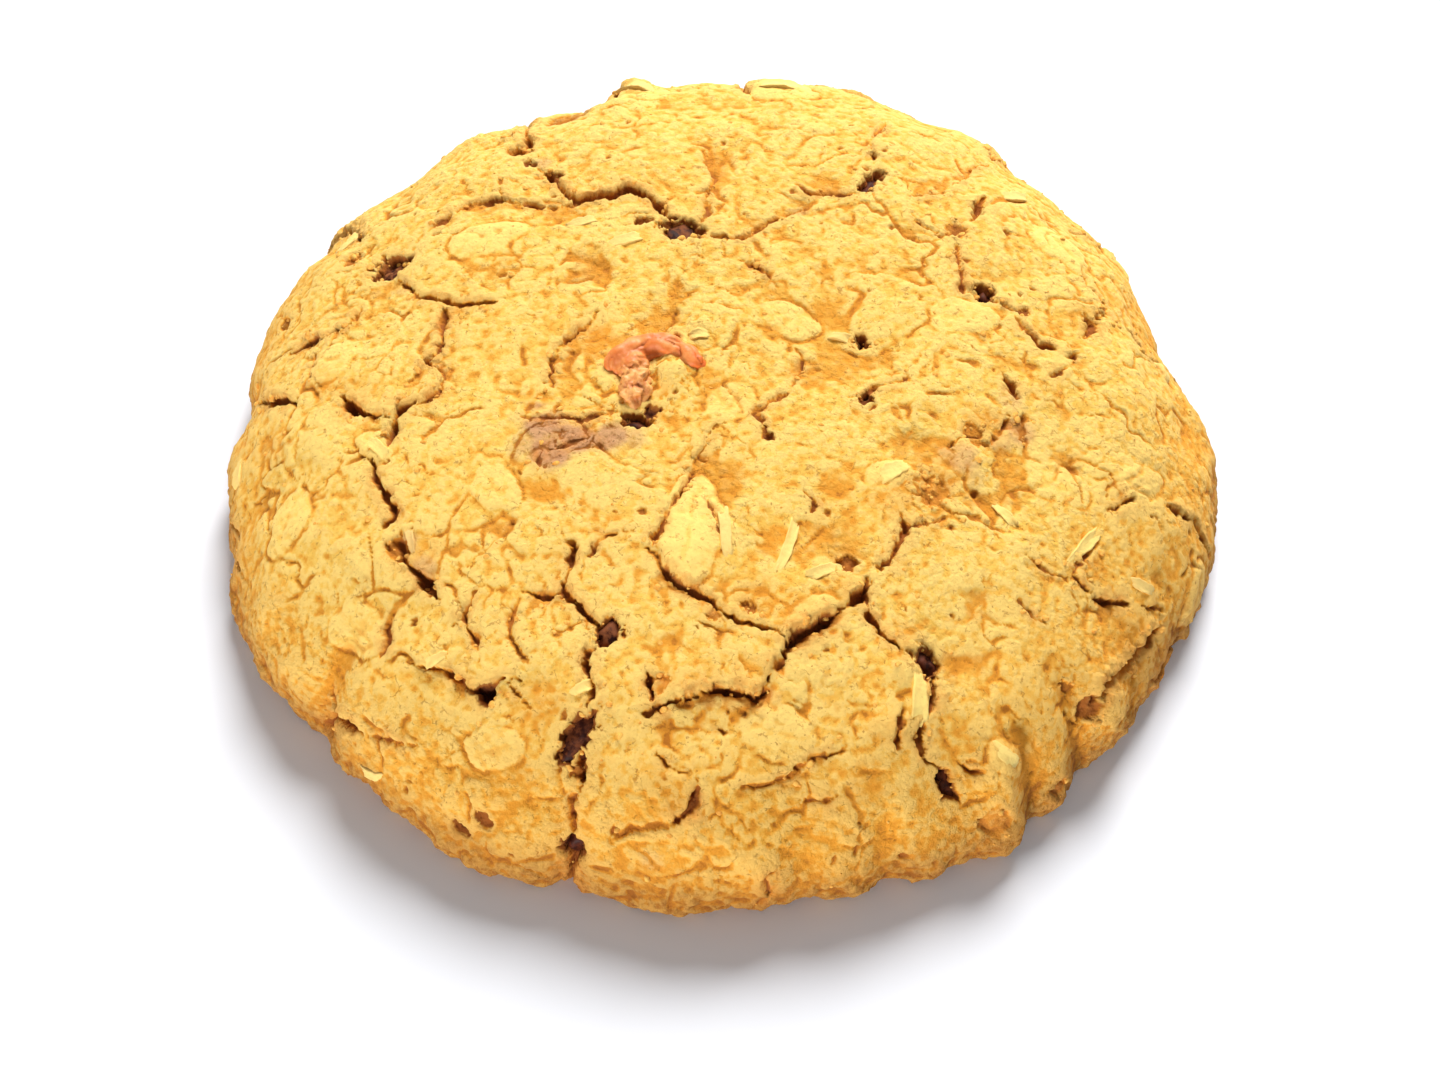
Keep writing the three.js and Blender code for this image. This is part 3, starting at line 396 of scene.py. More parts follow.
# place, radius, strength: dough tinted mauve by the chocolate just below it
mauveSpots = [
    ((-13.6, -7.4), 2.4, 1.0), ((-13.2, -10.4), 2.4, 1.0), ((-10.8, -8.6), 2.5, 1.0),
    ((-8.4, -8.4), 2.0, 0.9), ((-14.2, -5.4), 1.2, 0.8), ((-6.4, -8.6), 1.3, 0.6),
    ((-15.2, -9.6), 1.6, 0.6), ((19.4, -10.2), 1.8, 0.6), ((20.6, -12.0), 1.3, 0.4),
    ((18.0, -12.6), 1.2, 0.3), ((23.4, -3.8), 1.6, 0.5), ((23.7, -6.6), 1.5, 0.6),
    ((22.3, -8.1), 1.2, 0.45), ((-26.6, 9.8), 1.3, 0.4), ((-5.4, -43.6), 1.4, 0.4),
    ((-14.9, 23.8), 1.2, 0.6), ((6.6, 15.4), 1.1, 0.5), ((16.8, -33.2), 1.2, 0.3),
    ((17.8, -28.6), 1.0, 0.3), ((-23.8, -17.0), 1.1, 0.7), ((-22.6, -19.6), 1.2, 0.6),
]

# place, share of its length and width that the crust leaves open, size, turn: as in the solids
chocolates = [
    {"at": (-27.5, 12.8), "opening": (1.0, 0.95), "size": (3.3, 2.8, 2.2), "turn": 20, "bloom": 0.9},
    {"at": (-3.1, 13.6), "opening": (0.85, 0.7), "size": (4.4, 2.8, 2.4), "turn": -25, "bloom": 0.45},
    {"at": (12.4, 19.6), "opening": (0.95, 0.6), "size": (3.4, 2.0, 2.0), "turn": 60, "bloom": 0.0},
    {"at": (22.4, 8.0), "opening": (0.75, 0.65), "size": (2.2, 1.7, 1.7), "turn": 80, "bloom": 0.1},
    {"at": (-8.1, -25.7), "opening": (0.75, 0.7), "size": (3.0, 2.5, 2.2), "turn": 70, "bloom": 0.4},
    {"at": (-10.6, -33.8), "opening": (0.85, 0.55), "size": (5.4, 2.6, 2.4), "turn": 55, "bloom": 0.2},
    {"at": (-12.2, -43.4), "opening": (0.65, 0.6), "size": (2.8, 2.6, 2.4), "turn": 0, "bloom": 0.0},
    {"at": (15.7, -27.7), "opening": (0.9, 0.8), "size": (2.9, 2.2, 2.2), "turn": -60, "bloom": 0.05},
    {"at": (18.3, -37.0), "opening": (0.9, 0.6), "size": (3.8, 1.7, 2.0), "turn": -65, "bloom": 0.1},
    {"at": (-6.6, -7.0), "opening": (0.7, 0.6), "size": (3.4, 1.7, 1.7), "turn": -10, "bloom": 0.2},
]
chocolatePit = {"margin": 0.5, "depth": 1.1, "sink": 0.25}

# place, length, width, turn, rise: oat flakes that lie level in the crust, as in the solids
levelOats = [
    ((-1.9, -17.0), 11.0, 4.6, 82, 0.9), ((33.8, -9.4), 5.6, 3.4, 18, 0.4),
    ((-19.0, 13.4), 7.0, 4.2, 15, 0.6), ((29.6, 15.6), 6.4, 4.4, -40, 0.6),
    ((-35.0, -12.5), 6.0, 4.2, 70, 0.5), ((-29.0, -24.0), 6.2, 4.2, -30, 0.5),
    ((4.6, -33.6), 6.6, 4.6, -12, 0.5), ((38.0, 22.0), 6.0, 4.0, 70, 0.8),
    ((16.0, 43.0), 6.0, 3.8, 20, 0.8), ((-36.5, 27.5), 6.0, 4.0, 60, 0.8),
    ((-12.0, 44.5), 5.6, 3.8, -15, 0.8), ((43.0, -16.0), 5.4, 3.6, 65, 0.7),
    ((5.8, 34.0), 6.4, 4.0, 3, 0.6), ((-6.6, 35.2), 5.0, 3.6, -20, 0.6),
    ((13.4, -12.4), 4.4, 2.4, 25, 0.3), ((22.6, -34.0), 4.2, 2.6, -35, 0.35),
    ((-27.0, -7.9), 4.2, 2.4, -45, 0.6), ((1.2, -5.0), 5.0, 3.6, 60, 0.5),
    ((6.0, 3.6), 5.4, 3.6, -25, 0.4), ((20.6, 4.6), 5.6, 4.0, 10, 0.5),
    ((-17.0, -13.5), 5.2, 3.4, -50, 0.4), ((27.0, -11.0), 5.8, 3.8, -30, 0.3),
    ((-32.4, 2.6), 5.4, 3.8, 30, 0.5), ((7.0, -24.6), 4.6, 3.0, 40, 0.5),
    ((-17.0, -34.0), 5.0, 3.6, 10, 0.5),
]

# place, length, width, turn, tilt, tone: oat flakes of which a pale sliver stands out of the crust
slivers = [
    ((0.6, -17.5), 5.6, 0.9, 95, 4, 0.6), ((5.2, -18.7), 5.4, 0.85, 73, 24, 0.8),
    ((8.1, -20.7), 3.6, 0.9, 27, 24, 0.8), ((13.8, -12.0), 3.2, 1.3, 34, 14, 0.9),
    ((22.8, -15.0), 3.0, 0.75, -51, 28, 0.8), ((29.4, -16.7), 4.8, 0.95, 54, 24, 0.9),
    ((35.4, -18.3), 2.8, 0.9, -3, 15, 0.6), ((15.1, -30.6), 4.6, 1.3, 93, 30, 1.0),
    ((22.4, -33.8), 4.4, 1.1, -30, 14, 0.9), ((-26.7, -8.3), 3.0, 0.95, -48, 24, 0.9),
    ((-23.7, -17.2), 2.2, 0.6, -77, 28, 0.2), ((-7.6, 12.4), 3.0, 1.0, 19, 18, 0.7),
    ((-10.2, -30.1), 2.0, 0.8, 27, 24, 0.8), ((5.8, 34.9), 5.2, 1.5, 2, 18, 0.9),
    ((-7.2, 36.6), 4.6, 1.4, -40, 18, 0.7), ((-1.5, 1.2), 1.9, 0.9, 10, 20, 0.9),
    ((10.4, 2.2), 3.0, 0.8, -12, 18, 0.7), ((-11.2, 15.0), 2.6, 0.9, 20, 18, 0.6),
    ((26.0, 22.0), 3.2, 1.1, 30, 18, 0.7), ((-33.0, 20.0), 3.4, 1.2, 50, 18, 0.7),
    ((-30.0, -35.0), 3.2, 1.1, -20, 18, 0.6), ((-43.0, -4.0), 3.0, 1.1, 80, 18, 0.7),
    ((12.0, 38.0), 3.4, 1.2, -30, 18, 0.7), ((40.0, 6.0), 3.0, 1.0, 85, 18, 0.7),
    ((-22.0, 38.0), 3.4, 1.2, 15, 18, 0.7), ((-21.6, -27.0), 2.4, 0.8, 25, 22, 0.8),
]
sliver = {"thickness": 0.46, "proud": 0.10, "rings": 7, "sides": 36}

# place, radius, height: dough raised beside the pecan and over the flakes' ends
swellings = [
    ((-3.8, -2.8), 1.6, 0.7), ((-8.9, -2.4), 1.2, 0.4), ((-2.6, -4.6), 1.4, 0.5),
    ((-10.3, -4.8), 1.0, 0.3), ((-1.4, 2.2), 1.0, 0.4), ((14.0, -28.6), 1.2, 0.6),
    ((12.8, -32.6), 1.6, 0.5), ((34.0, -28.6), 2.4, 0.9), ((-7.7, 38.4), 1.9, 1.3),
    ((-20.6, 33.4), 3.2, 1.1), ((-13.4, 34.6), 2.8, -1.0), ((19.9, -10.1), 1.4, 0.6),
    ((37.6, -25.4), 1.8, 0.5), ((-3.4, -2.4), 1.2, 0.4), ((30.0, -38.0), 2.2, 0.8),
    ((-36.0, -25.0), 2.4, 0.6), ((-6.0, -37.0), 2.4, 0.4), ((2.4, -43.6), 2.4, 0.6),
]

relief = {
    "waver": (2.6, 0.8),        # size and reach of the cracks' sideways straying, as in the solids
    "pitWaver": (1.1, 0.3), "oatWaver": (2.0, 0.5),
    "deepest": 2.4,
    # size, height, roundness and share of open seams, seed
    "clods": [(7.0, 0.24, 0.5, 1.0, 7.0), (3.4, 0.15, 0.6, 0.7, 3.0), (1.7, 0.06, 0.6, 0.12, 11.0),
              (0.85, 0.035, 0.6, 0.0, 23.0)],
    "wrinkleSize": 1.9, "wrinkleDepth": 0.1,
    "roughSize": 0.9, "roughHeight": 0.08,
    "poreSize": 2.0, "poreDepth": 0.28,
    "crumbleSize": 0.55, "crumbleReach": 0.5, "grainReach": 0.14,
    "footSize": 1.8, "footHeight": 0.8,
}


def routeDistance(points, normals, line):
    # distance to a line of points, which side of it each point is on, and the distance to its ends
    best = np.full(len(points), 1e9)
    side = np.zeros(len(points))
    foot = np.zeros_like(points)
    for start, end in zip(line[:-1], line[1:]):
        run = end - start
        t = np.clip((points - start) @ run / (run @ run), 0, 1)
        nearest = start + t[:, None] * run
        away = points - nearest
        distance = np.linalg.norm(away, axis=1)
        closer = distance < best
        best[closer] = distance[closer]
        foot[closer] = nearest[closer]
        side[closer] = np.sign(np.einsum("ij,ij->i", np.cross(run, away[closer]), normals[closer]))
    toEnd = np.minimum(np.linalg.norm(foot - line[0], axis=1), np.linalg.norm(foot - line[-1], axis=1))
    return best, side, toEnd, foot


def raggedness(points):
    # uneven as an edge of crumbs, from about -0.8 to 0.8
    coarse = grains(strayed(points, 0.8, 0.3), 1.0, 5.0)[2]
    fine = grains(points, 0.46, 15.0)[2]
    return 0.75 * (coarse - 0.5) + 0.55 * (fine - 0.5) + 0.5 * layeredNoise(points, 1.4, 3, 3.1)


crackForm = {
    "reach": 5.0,               # how far from its route a crack still shapes the crust
    "pointSpacing": 0.8,        # of the points along a route
    "edgeShare": 0.45, "edgeLeast": 0.17,       # unevenness of its edges, by half width and at least
    "narrowing": 0.85,          # of the half widths in the list
    "pinchSize": 1.3,           # length of the stretches that narrow or open
    "lipHeight": 0.06,
    "stepHeight": 0.6, "stepFade": 2.4,
    # how dark the insides are painted: brown crumb and painted shade
    "darkness": 0.88,
    "haloLeast": 0.6, "haloShare": 1.3,         # radius of the toasted border, at least and by half width
}


def routeLine(route):
    corners = np.array(route, float)
    fine = [corners[0]]
    for a, b in zip(corners[:-1], corners[1:]):
        count = max(1, int(np.ceil(np.hypot(*(b - a)) / crackForm["pointSpacing"])))
        fine += [a + (b - a) * k / count for k in range(1, count + 1)]
    return smoothPlace(fine)


def crackRelief(points, normals, ragged):
    form = crackForm
    reach = form["reach"]
    height = np.zeros(len(points))
    dark = np.zeros(len(points))
    glow = np.zeros(len(points))
    for halfWidth, depth, darkness, step, route in cracks:
        line = routeLine(route)
        inside = np.all((points > line.min(0) - reach) & (points < line.max(0) + reach), axis=1)
        rows = np.nonzero(inside)[0]
        if len(rows) == 0:
            continue
        best, side, toEnd, foot = routeDistance(points[rows], normals[rows], line)
        fade = smoothstep(toEnd, -0.5, 1.5)
        # its edges crumble, and in places it almost closes
        uneven = np.maximum(ragged[rows], -1.2 * (1 - darkness) - 0.15)
        edge = best - (form["edgeShare"] * halfWidth + form["edgeLeast"]) * uneven
        pinch = np.clip(0.58 + 1.7 * noise(foot / form["pinchSize"] + 7.7), 0.5 * darkness ** 2, 1.2)
        openness = np.clip(pinch, 0, 1)
        width = form["narrowing"] * halfWidth * pinch * smoothstep(toEnd, -0.6, 1.3)
        # groove, raised lips and the step between its two sides
        groove = 1 - smoothstep(edge, width * 0.2, width * 1.25 + 0.12)
        lip = np.exp(-((best - 2.2 * halfWidth) / (1.3 * halfWidth)) ** 2)
        onSide = side * smoothstep(best, 0.0, 0.4) * np.exp(-best / form["stepFade"])
        onSide = onSide * smoothstep(best, reach, 0.6 * reach) * fade
        depthHere = depth * (0.4 + 0.6 * fade) * (0.5 + 0.5 * openness)
        raisedLip = form["lipHeight"] * depth * lip * fade
        height[rows] += -depthHere * groove + raisedLip + form["stepHeight"] * step * onSide
        # its dark inside, painted as brown crumb and painted shade, and the toasted border
        core = 1 - smoothstep(edge, width * 0.25, width * 1.0 + 0.06)
        inner = form["darkness"] * core * darkness * (0.4 + 0.6 * openness) * (0.5 + 0.5 * fade)
        dark[rows] = np.maximum(dark[rows], inner)
        broken = np.clip(0.75 + 1.2 * uneven, 0, 1.3)
        haloRadius = form["haloLeast"] + form["haloShare"] * halfWidth
        halo = darkness * np.exp(-(best / haloRadius) ** 2) * fade * broken
        glow[rows] = np.maximum(glow[rows], halo)
    return height, dark, glow


def pitRelief(points, ragged):
    height = np.zeros(len(points))
    crumbly = np.zeros(len(points))
    dark = np.zeros(len(points))
    glow = np.zeros(len(points))
    pits = [(at, radius, radius, 0, depth, darkness) for at, radius, depth, darkness in hollows]
    for piece in chocolates:
        halves = [(size / 2 + 0.35) * share for size, share in zip(piece["size"], piece["opening"])]
        pits.append((piece["at"], *halves, piece["turn"], chocolatePit["depth"], 0.9))
    for at, halfLength, halfWidth, turn, depth, darkness in pits:
        s, angle = walk(at)
        along, across, up = tangentFrame(s[0], angle[0], turn)
        local = points - smoothPoint(s, angle)[0]
        x, y, z = local @ along / halfLength, local @ across / halfWidth, local @ up / 4
        away = np.sqrt(x ** 2 + y ** 2 + z ** 2)
        rows = np.nonzero(away < 2.5)[0]
        edge = away[rows] - (0.3 + 0.3 / halfWidth) * ragged[rows]
        bowl = 1 - smoothstep(edge, 0.55, 1.1)
        height[rows] -= depth * bowl
        # the inside is painted dark: brown crumb and painted shade
        dark[rows] = np.maximum(dark[rows], darkness * (1 - smoothstep(edge, 0.6, 1.1)))
        crumbly[rows] = np.maximum(crumbly[rows], np.exp(-((edge - 0.85) / 0.2) ** 2))
        halo = np.exp(-(away[rows] / 1.1) ** 2) * np.clip(0.75 + 1.2 * ragged[rows], 0, 1.2)
        glow[rows] = np.maximum(glow[rows], halo)
    for at, radius, rise in swellings:
        away = np.linalg.norm(points - smoothPlace(at)[0], axis=1) / radius
        height += rise * np.exp(-(away * (1 - 0.3 * ragged)) ** 2)
    return height, dark, glow, crumbly


def spotMask(points, spots, ragged=0.45):
    # soft uneven patches, from 0 to 1
    mask = np.zeros(len(points))
    edge = layeredNoise(points, 2.4, 4, 9.9)
    for at, radius, strength in spots:
        away = np.linalg.norm(points - smoothPlace(at)[0], axis=1) / radius + ragged * edge
        mask = np.maximum(mask, strength * (1 - smoothstep(away, 0.35, 1.25)))
    return mask


def tangentFrame(s, angle, turn):
    up = smoothNormal(np.array([s]), np.array([angle]))[0]
    along = np.array((1.0, 0, 0)) - up * up[0]
    along /= np.linalg.norm(along)
    across = np.cross(up, along)
    c, d = math.cos(math.radians(turn)), math.sin(math.radians(turn))
    return along * c + across * d, across * c - along * d, up


def oatRelief(points):
    height = np.zeros(len(points))
    mask = np.zeros(len(points))
    rim = np.zeros(len(points))
    tear = layeredNoise(points, 1.6, 3, 2.9)
    # where dough doesn't cover a flake's outline
    shown = smoothstep(noise(points / 2.0 + 5.1), -0.05, 0.2)
    for place, length, width, turn, rise in levelOats:
        s, angle = walk(place)
        centre = smoothPoint(s, angle)[0]
        along, across, _ = tangentFrame(s[0], angle[0], turn)
        rows = np.nonzero(np.all(np.abs(points - centre) < length * 0.8, axis=1))[0]
        local = points[rows] - centre
        x = local @ along / (length / 2)
        y = local @ across / (width / 2)
        y = y * (1 + 0.18 * x)
        away = np.sqrt(x * x + y * y) + 0.30 * tear[rows]
        inside = 1 - smoothstep(away, 0.9, 1.02)
        crease = np.exp(-(y / 0.12) ** 2) * (1 - smoothstep(np.abs(x), 0.4, 0.9))
        domed = 0.34 * rise * (1 - np.clip(away, 0, 1) ** 4) + 0.05
        height[rows] += inside * (domed - 0.12 * crease * rise)
        # the outline sinks a little, and the finish paints a shadow line along it
        edge = np.exp(-((away - 1.04) / 0.06) ** 2) * shown[rows]
        height[rows] -= 0.22 * edge * rise
        mask[rows] = np.maximum(mask[rows], inside * rise)
        rim[rows] = np.maximum(rim[rows], edge * rise)
    return height, mask, rim


def clodRelief(points):
    # crumbly lumps of several sizes, with seams between them that are open in places
    height = np.zeros(len(points))
    seam = np.zeros(len(points))
    for size, rise, roundness, share, seed in relief["clods"]:
        warped = strayed(strayed(points, size * 0.8, size * 0.6), size * 0.25, size * 0.22)
        first, second, number = grains(strayed(warped, 0.8, 0.45), size, seed)
        gap = (second - first) * size
        opened = share * smoothstep(layeredNoise(points, 3.4, 2, seed), 0.07, 0.3)
        split = (1 - smoothstep(gap, 0.06, 0.5)) * opened
        level = 0.7 * (number - 0.5) * smoothstep(gap, 0.0, 0.5)
        height += rise * (level + roundness * (0.55 - first) - 0.9 * split)
        # the finish paints brown lines with shade along the open seams
        line = (1 - smoothstep(gap, 0.05, 0.38)) * opened * min(1, 0.55 + 0.08 * size)
        seam = np.maximum(seam, line)
    lines = np.abs(layeredNoise(strayed(points, 1.1, 0.5), relief["wrinkleSize"], 2, 6.3))
    patch = smoothstep(noise(points / 2.0 + 8.8), 0.16, 0.3)
    wrinkle = (1 - smoothstep(lines, 0.0, 0.05)) * patch
    height -= relief["wrinkleDepth"] * wrinkle
    return height, np.maximum(seam, 0.5 * wrinkle)


def crustRelief(points, normals, s):
    # height over the smooth body, and the masks that the crust's finish reads
    lumpy = np.zeros(len(points))
    for size, rise in cookie["lumps"]:
        lumpy += rise * noise(points / size)
    drift = strayed(points, *relief["waver"]) - points
    place = points + drift - normals * np.einsum("ij,ij->i", drift, normals)[:, None]
    ragged = raggedness(points)
    crackHeight, crackDark, crackGlow = crackRelief(place, normals, ragged)
    pitHeight, pitDark, pitGlow, crumbly = pitRelief(strayed(points, *relief["pitWaver"]), ragged)
    oatHeight, oatMask, oatRim = oatRelief(strayed(points, *relief["oatWaver"]))
    broken = np.clip(crackDark + pitDark, 0, 1)
    oatMask = oatMask * (1 - smoothstep(broken, 0.1, 0.5))
    clodHeight, seam = clodRelief(points)
    rough = relief["roughHeight"] * layeredNoise(points, relief["roughSize"], 3, 1.7)
    poreFirst, _, poreNumber = grains(strayed(points, 0.9, 0.7), relief["poreSize"], 31.7)
    poreSize = 0.05 + 0.11 * ((poreNumber * 7.13) % 1.0)
    poreEdge = poreFirst - 0.14 * ragged
    pores = (1 - smoothstep(poreEdge, poreSize * 0.5, poreSize + 0.04)) * (poreNumber > 0.72)
    fine = (clodHeight + rough) * (1 - 0.75 * oatMask) - relief["poreDepth"] * pores * (1 - 0.6 * oatMask)
    footFade = smoothstep(walkToFoot - s, 0, cookie["widestHeight"])
    opened = np.maximum(crackHeight + pitHeight, -relief["deepest"])
    nearFoot = smoothstep(s, walkToFoot - 6, walkToFoot - 2)
    fine += relief["footHeight"] * layeredNoise(points, relief["footSize"], 3, 5.9) * nearFoot
    height = (lumpy + opened + oatHeight * (1 - broken)) * footFade
    height += fine * smoothstep(walkToFoot - s, 0, 0.6)
    masks = {
        # open and sunk say how torn and how deep the crust is; the finish paints shade and brown there
        "open": broken,
        "sunk": np.clip(-(crackHeight + pitHeight) / 1.5, 0, 1),
        "glow": np.clip(np.maximum(crackGlow, 0.8 * pitGlow), 0, 1),
        "oat": oatMask,
        # seam: brown lines with painted shade along open seams and wrinkles, and a painted shadow line
        # around the level flakes
        "seam": np.clip(np.maximum(seam * (1 - 0.8 * oatMask), 0.8 * oatRim), 0, 1),
        # pores: small holes, painted dark as shade
        "pores": pores,
        "crumbly": crumbly,
        "toasted": spotMask(points, toastedSpots),
        "pale": spotMask(points, paleSpots, 0.6),
        "mauve": spotMask(points, mauveSpots, 0.7),
    }
    return height, masks


def crustPlace(place):
    # a point on the crust as the solids have it: lumps and pits without the fine relief
    s, angle = walk(place)
    point = smoothPoint(s, angle)
    lumpy = sum(rise * noise(point / size) for size, rise in cookie["lumps"])
    near = strayed(point, *relief["waver"])
    pit = 0.0
    for piece in chocolates:
        radius = (piece["size"][0] + piece["size"][1]) / 4 + chocolatePit["margin"]
        away = np.linalg.norm(smoothPlace(piece["at"])[0] - near[0])
        pit -= chocolatePit["depth"] * math.exp(-(away / radius) ** 3)
    return point[0] + smoothNormal(s, angle)[0] * (lumpy[0] + pit)


# meshes

def meshObject(name, points, faces, shift):
    mesh = bpy.data.meshes.new(name)
    mesh.from_pydata(((points + shift) * millimetre).tolist(), [], faces)
    mesh.update()
    for polygon in mesh.polygons:
        polygon.use_smooth = True
    piece = bpy.data.objects.new(name, mesh)
    bpy.context.scene.collection.objects.link(piece)
    return piece


def addMask(piece, name, values):
    attribute = piece.data.attributes.new(name, "FLOAT", "POINT")
    attribute.data.foreach_set("value", np.asarray(values, np.float32))


def zipRings(inner, outer, innerAngles, outerAngles, faces):
    # fills the band between two rings, stepping along the ring that lags behind
    turn = 2 * math.pi
    a, b = 0, 0
    while outerAngles[b] < innerAngles[0]:
        b += 1
    start = b
    countA, countB = len(inner), len(outer)
    while a < countA or b < start + countB:
        nextA = innerAngles[(a + 1) % countA] + turn * ((a + 1) // countA)
        nextB = outerAngles[(b + 1) % countB] + turn * ((b + 1) // countB)
        if a >= countA or (b < start + countB and nextB <= nextA):
            faces.append((inner[a % countA], outer[b % countB], outer[(b + 1) % countB]))
            b += 1
        else:
            faces.append((inner[a % countA], outer[b % countB], inner[(a + 1) % countA]))
            a += 1


def hollowness(points, faces, normals, rounds):
    # how far each point lies below the average of its surroundings, in millimetres
    a, b, c = np.array(faces).T
    start, end = np.concatenate([a, b, c]), np.concatenate([b, c, a])
    number = np.bincount(start, minlength=len(points))
    smooth = points.copy()
    for _ in range(rounds):
        total = [np.bincount(start, smooth[end, axis], len(points)) for axis in range(3)]
        smooth = np.stack(total, -1) / number[:, None]
    return np.einsum("ij,ij->i", smooth - points, normals)


def ringLayout():
    # rings of points from the top's middle to the foot, then inward over the underside:
    # each one's distance walked or radius, its angles, and if it is on the underside
    spacing = cookie["spacing"]
    ringCount = int(round(walkToFoot / spacing))
    rings = []
    for i in range(1, ringCount + 1):
        s = walkToFoot * i / ringCount
        around = 2 * math.pi * np.interp(s, sectionS, sectionShare) * cookie["radius"]
        count = max(6, int(round(around / spacing)))
        phase = (i % 2) * 0.5 + latticeHash(i, 3, 7)
        rings.append((s, (np.arange(count) + phase % 1.0) / count * 2 * math.pi, False))
    r = cookie["radius"] - cookie["footInset"]
    step = spacing
    while r > 2 * cookie["underSpacing"]:
        step = min(step * 1.25, cookie["underSpacing"])
        r -= step
        count = max(6, int(round(2 * math.pi * r / step)))
        rings.append((r, np.arange(count) / count * 2 * math.pi, True))
    return zip(*rings)


def joinRings(starts, ringAngles, underMiddle):
    # bands between the rings, and a fan that closes each end
    sizes = [len(angles) for angles in ringAngles]
    first, last = starts[0], starts[-2]
    faces = [(0, first + k, first + (k + 1) % sizes[0]) for k in range(sizes[0])]
    for i in range(1, len(sizes)):
        inner = list(range(starts[i - 1], starts[i]))
        outer = list(range(starts[i], starts[i + 1]))
        zipRings(inner, outer, ringAngles[i - 1], ringAngles[i], faces)
    faces += [(last + k, underMiddle, last + (k + 1) % sizes[-1]) for k in range(sizes[-1])]
    return faces


def layUnderside(points, s, angles, footRows, underRows):
    # it follows the foot's outline, with shallow dimples where the dough lay on the tray
    footRadius = cookie["radius"] - cookie["footInset"]
    footAngles = angles[footRows]
    footPlan = np.hypot(points[footRows, 0], points[footRows, 1])
    order = np.argsort(footAngles)
    plan = np.interp(angles[underRows], footAngles[order], footPlan[order], period=2 * math.pi)
    plan *= s[underRows] / footRadius
    points[underRows, 0] = plan * np.cos(angles[underRows])
    points[underRows, 1] = plan * np.sin(angles[underRows])
    dimple = np.clip(layeredNoise(points[underRows], 4.0, 3, 2.0), 0, 1)
    inward = smoothstep(footRadius - s[underRows], 0.0, 2.0)
    points[underRows, 2] = 0.5 * dimple * inward


def crumbled(points, masks):
    # the surface breaks up into crumbs, most of all in cracks, beside them and at the foot
    rough = np.maximum(smoothstep(masks["sunk"], 0.02, 0.3), 0.6 * smoothstep(points[:, 2], 6.0, 2.0))
    rough = np.maximum(rough, 0.8 * smoothstep(masks["glow"], 0.15, 0.5))
    reach = relief["grainReach"] + (relief["crumbleReach"] - relief["grainReach"]) * rough[:, None]
    return points + reach * (strayed(points, relief["crumbleSize"], 1.0) - points)


browning = {
    "from": 35.0, "full": 48.0,     # distances walked from the top's middle
    # the earlier start at the front, on the side away from the key light, is painted shade
    "sooner": 7.0,                  # how much nearer the middle it begins at the front
    "frontAngle": -60,
    "footTop": 7.5, "footFull": 1.5,            # heights between which the foot darkens
}


def brownedAndShadedSide(s, angles):
    # the side browns toward the foot, and toward the front it is also painted shade
    front = smoothstep(np.cos(angles - math.radians(browning["frontAngle"])), -0.1, 0.9)
    start = browning["from"] - browning["sooner"] * front
    return smoothstep(s, start, browning["full"]) * (0.8 + 0.2 * front)


def makeCrustMesh():
    ringS, ringAngles, ringUnder = ringLayout()
    sizes = [len(angles) for angles in ringAngles]
    starts = np.concatenate([[1], 1 + np.cumsum(sizes)])
    angles = np.concatenate([[0.0], *ringAngles])
    s = np.concatenate([[0.0], np.repeat(ringS, sizes)])
    below = np.concatenate([[False], np.repeat(ringUnder, sizes), [True]])
    top, underRows = np.nonzero(~below)[0], np.nonzero(below[:-1])[0]
    points = np.zeros((len(below), 3))
    outward = np.zeros((len(below), 3))
    outward[:, 2] = -1
    smoothTop = smoothPoint(s[top], angles[top])
    outward[top] = smoothNormal(s[top], angles[top])
    height, topMasks = crustRelief(smoothTop, outward[top], s[top])
    points[top] = crumbled(smoothTop + outward[top] * height[:, None], topMasks)
    points[:, 2] = np.maximum(points[:, 2], 0.0)
    footRing = ringUnder.index(True) - 1
    footRows = np.arange(starts[footRing], starts[footRing + 1])
    points[footRows, 2] = 0.0
    layUnderside(points, s, angles, footRows, underRows)
    faces = joinRings(starts, ringAngles, len(s))
    topMasks["brownedAndShaded"] = brownedAndShadedSide(s[top], angles[top])
    masks = {name: np.zeros(len(points)) for name in topMasks}
    for name, values in topMasks.items():
        masks[name][top] = values
    masks["brownedAndShaded"][below] = 1.0
    # painted light and shade: what stands out of its surroundings is painted light, and hollows and wide
    # valleys are painted darker and orange as shade
    hollow = 0.6 * hollowness(points, faces, outward, 24) + 2.2 * hollowness(points, faces, outward, 4)
    masks["rise"] = np.clip(0.5 - 2.0 * hollow, 0, 1)
    masks["valley"] = np.clip(0.5 + 1.6 * hollowness(points, faces, outward, 160), 0, 1)
    masks["lowest"] = smoothstep(points[:, 2], browning["footTop"], browning["footFull"])
    masks["under"] = below.astype(float)
    return points, faces, masks, smoothTop


def shifted(faces, offset):
    return [tuple(index + offset for index in face) for face in faces]


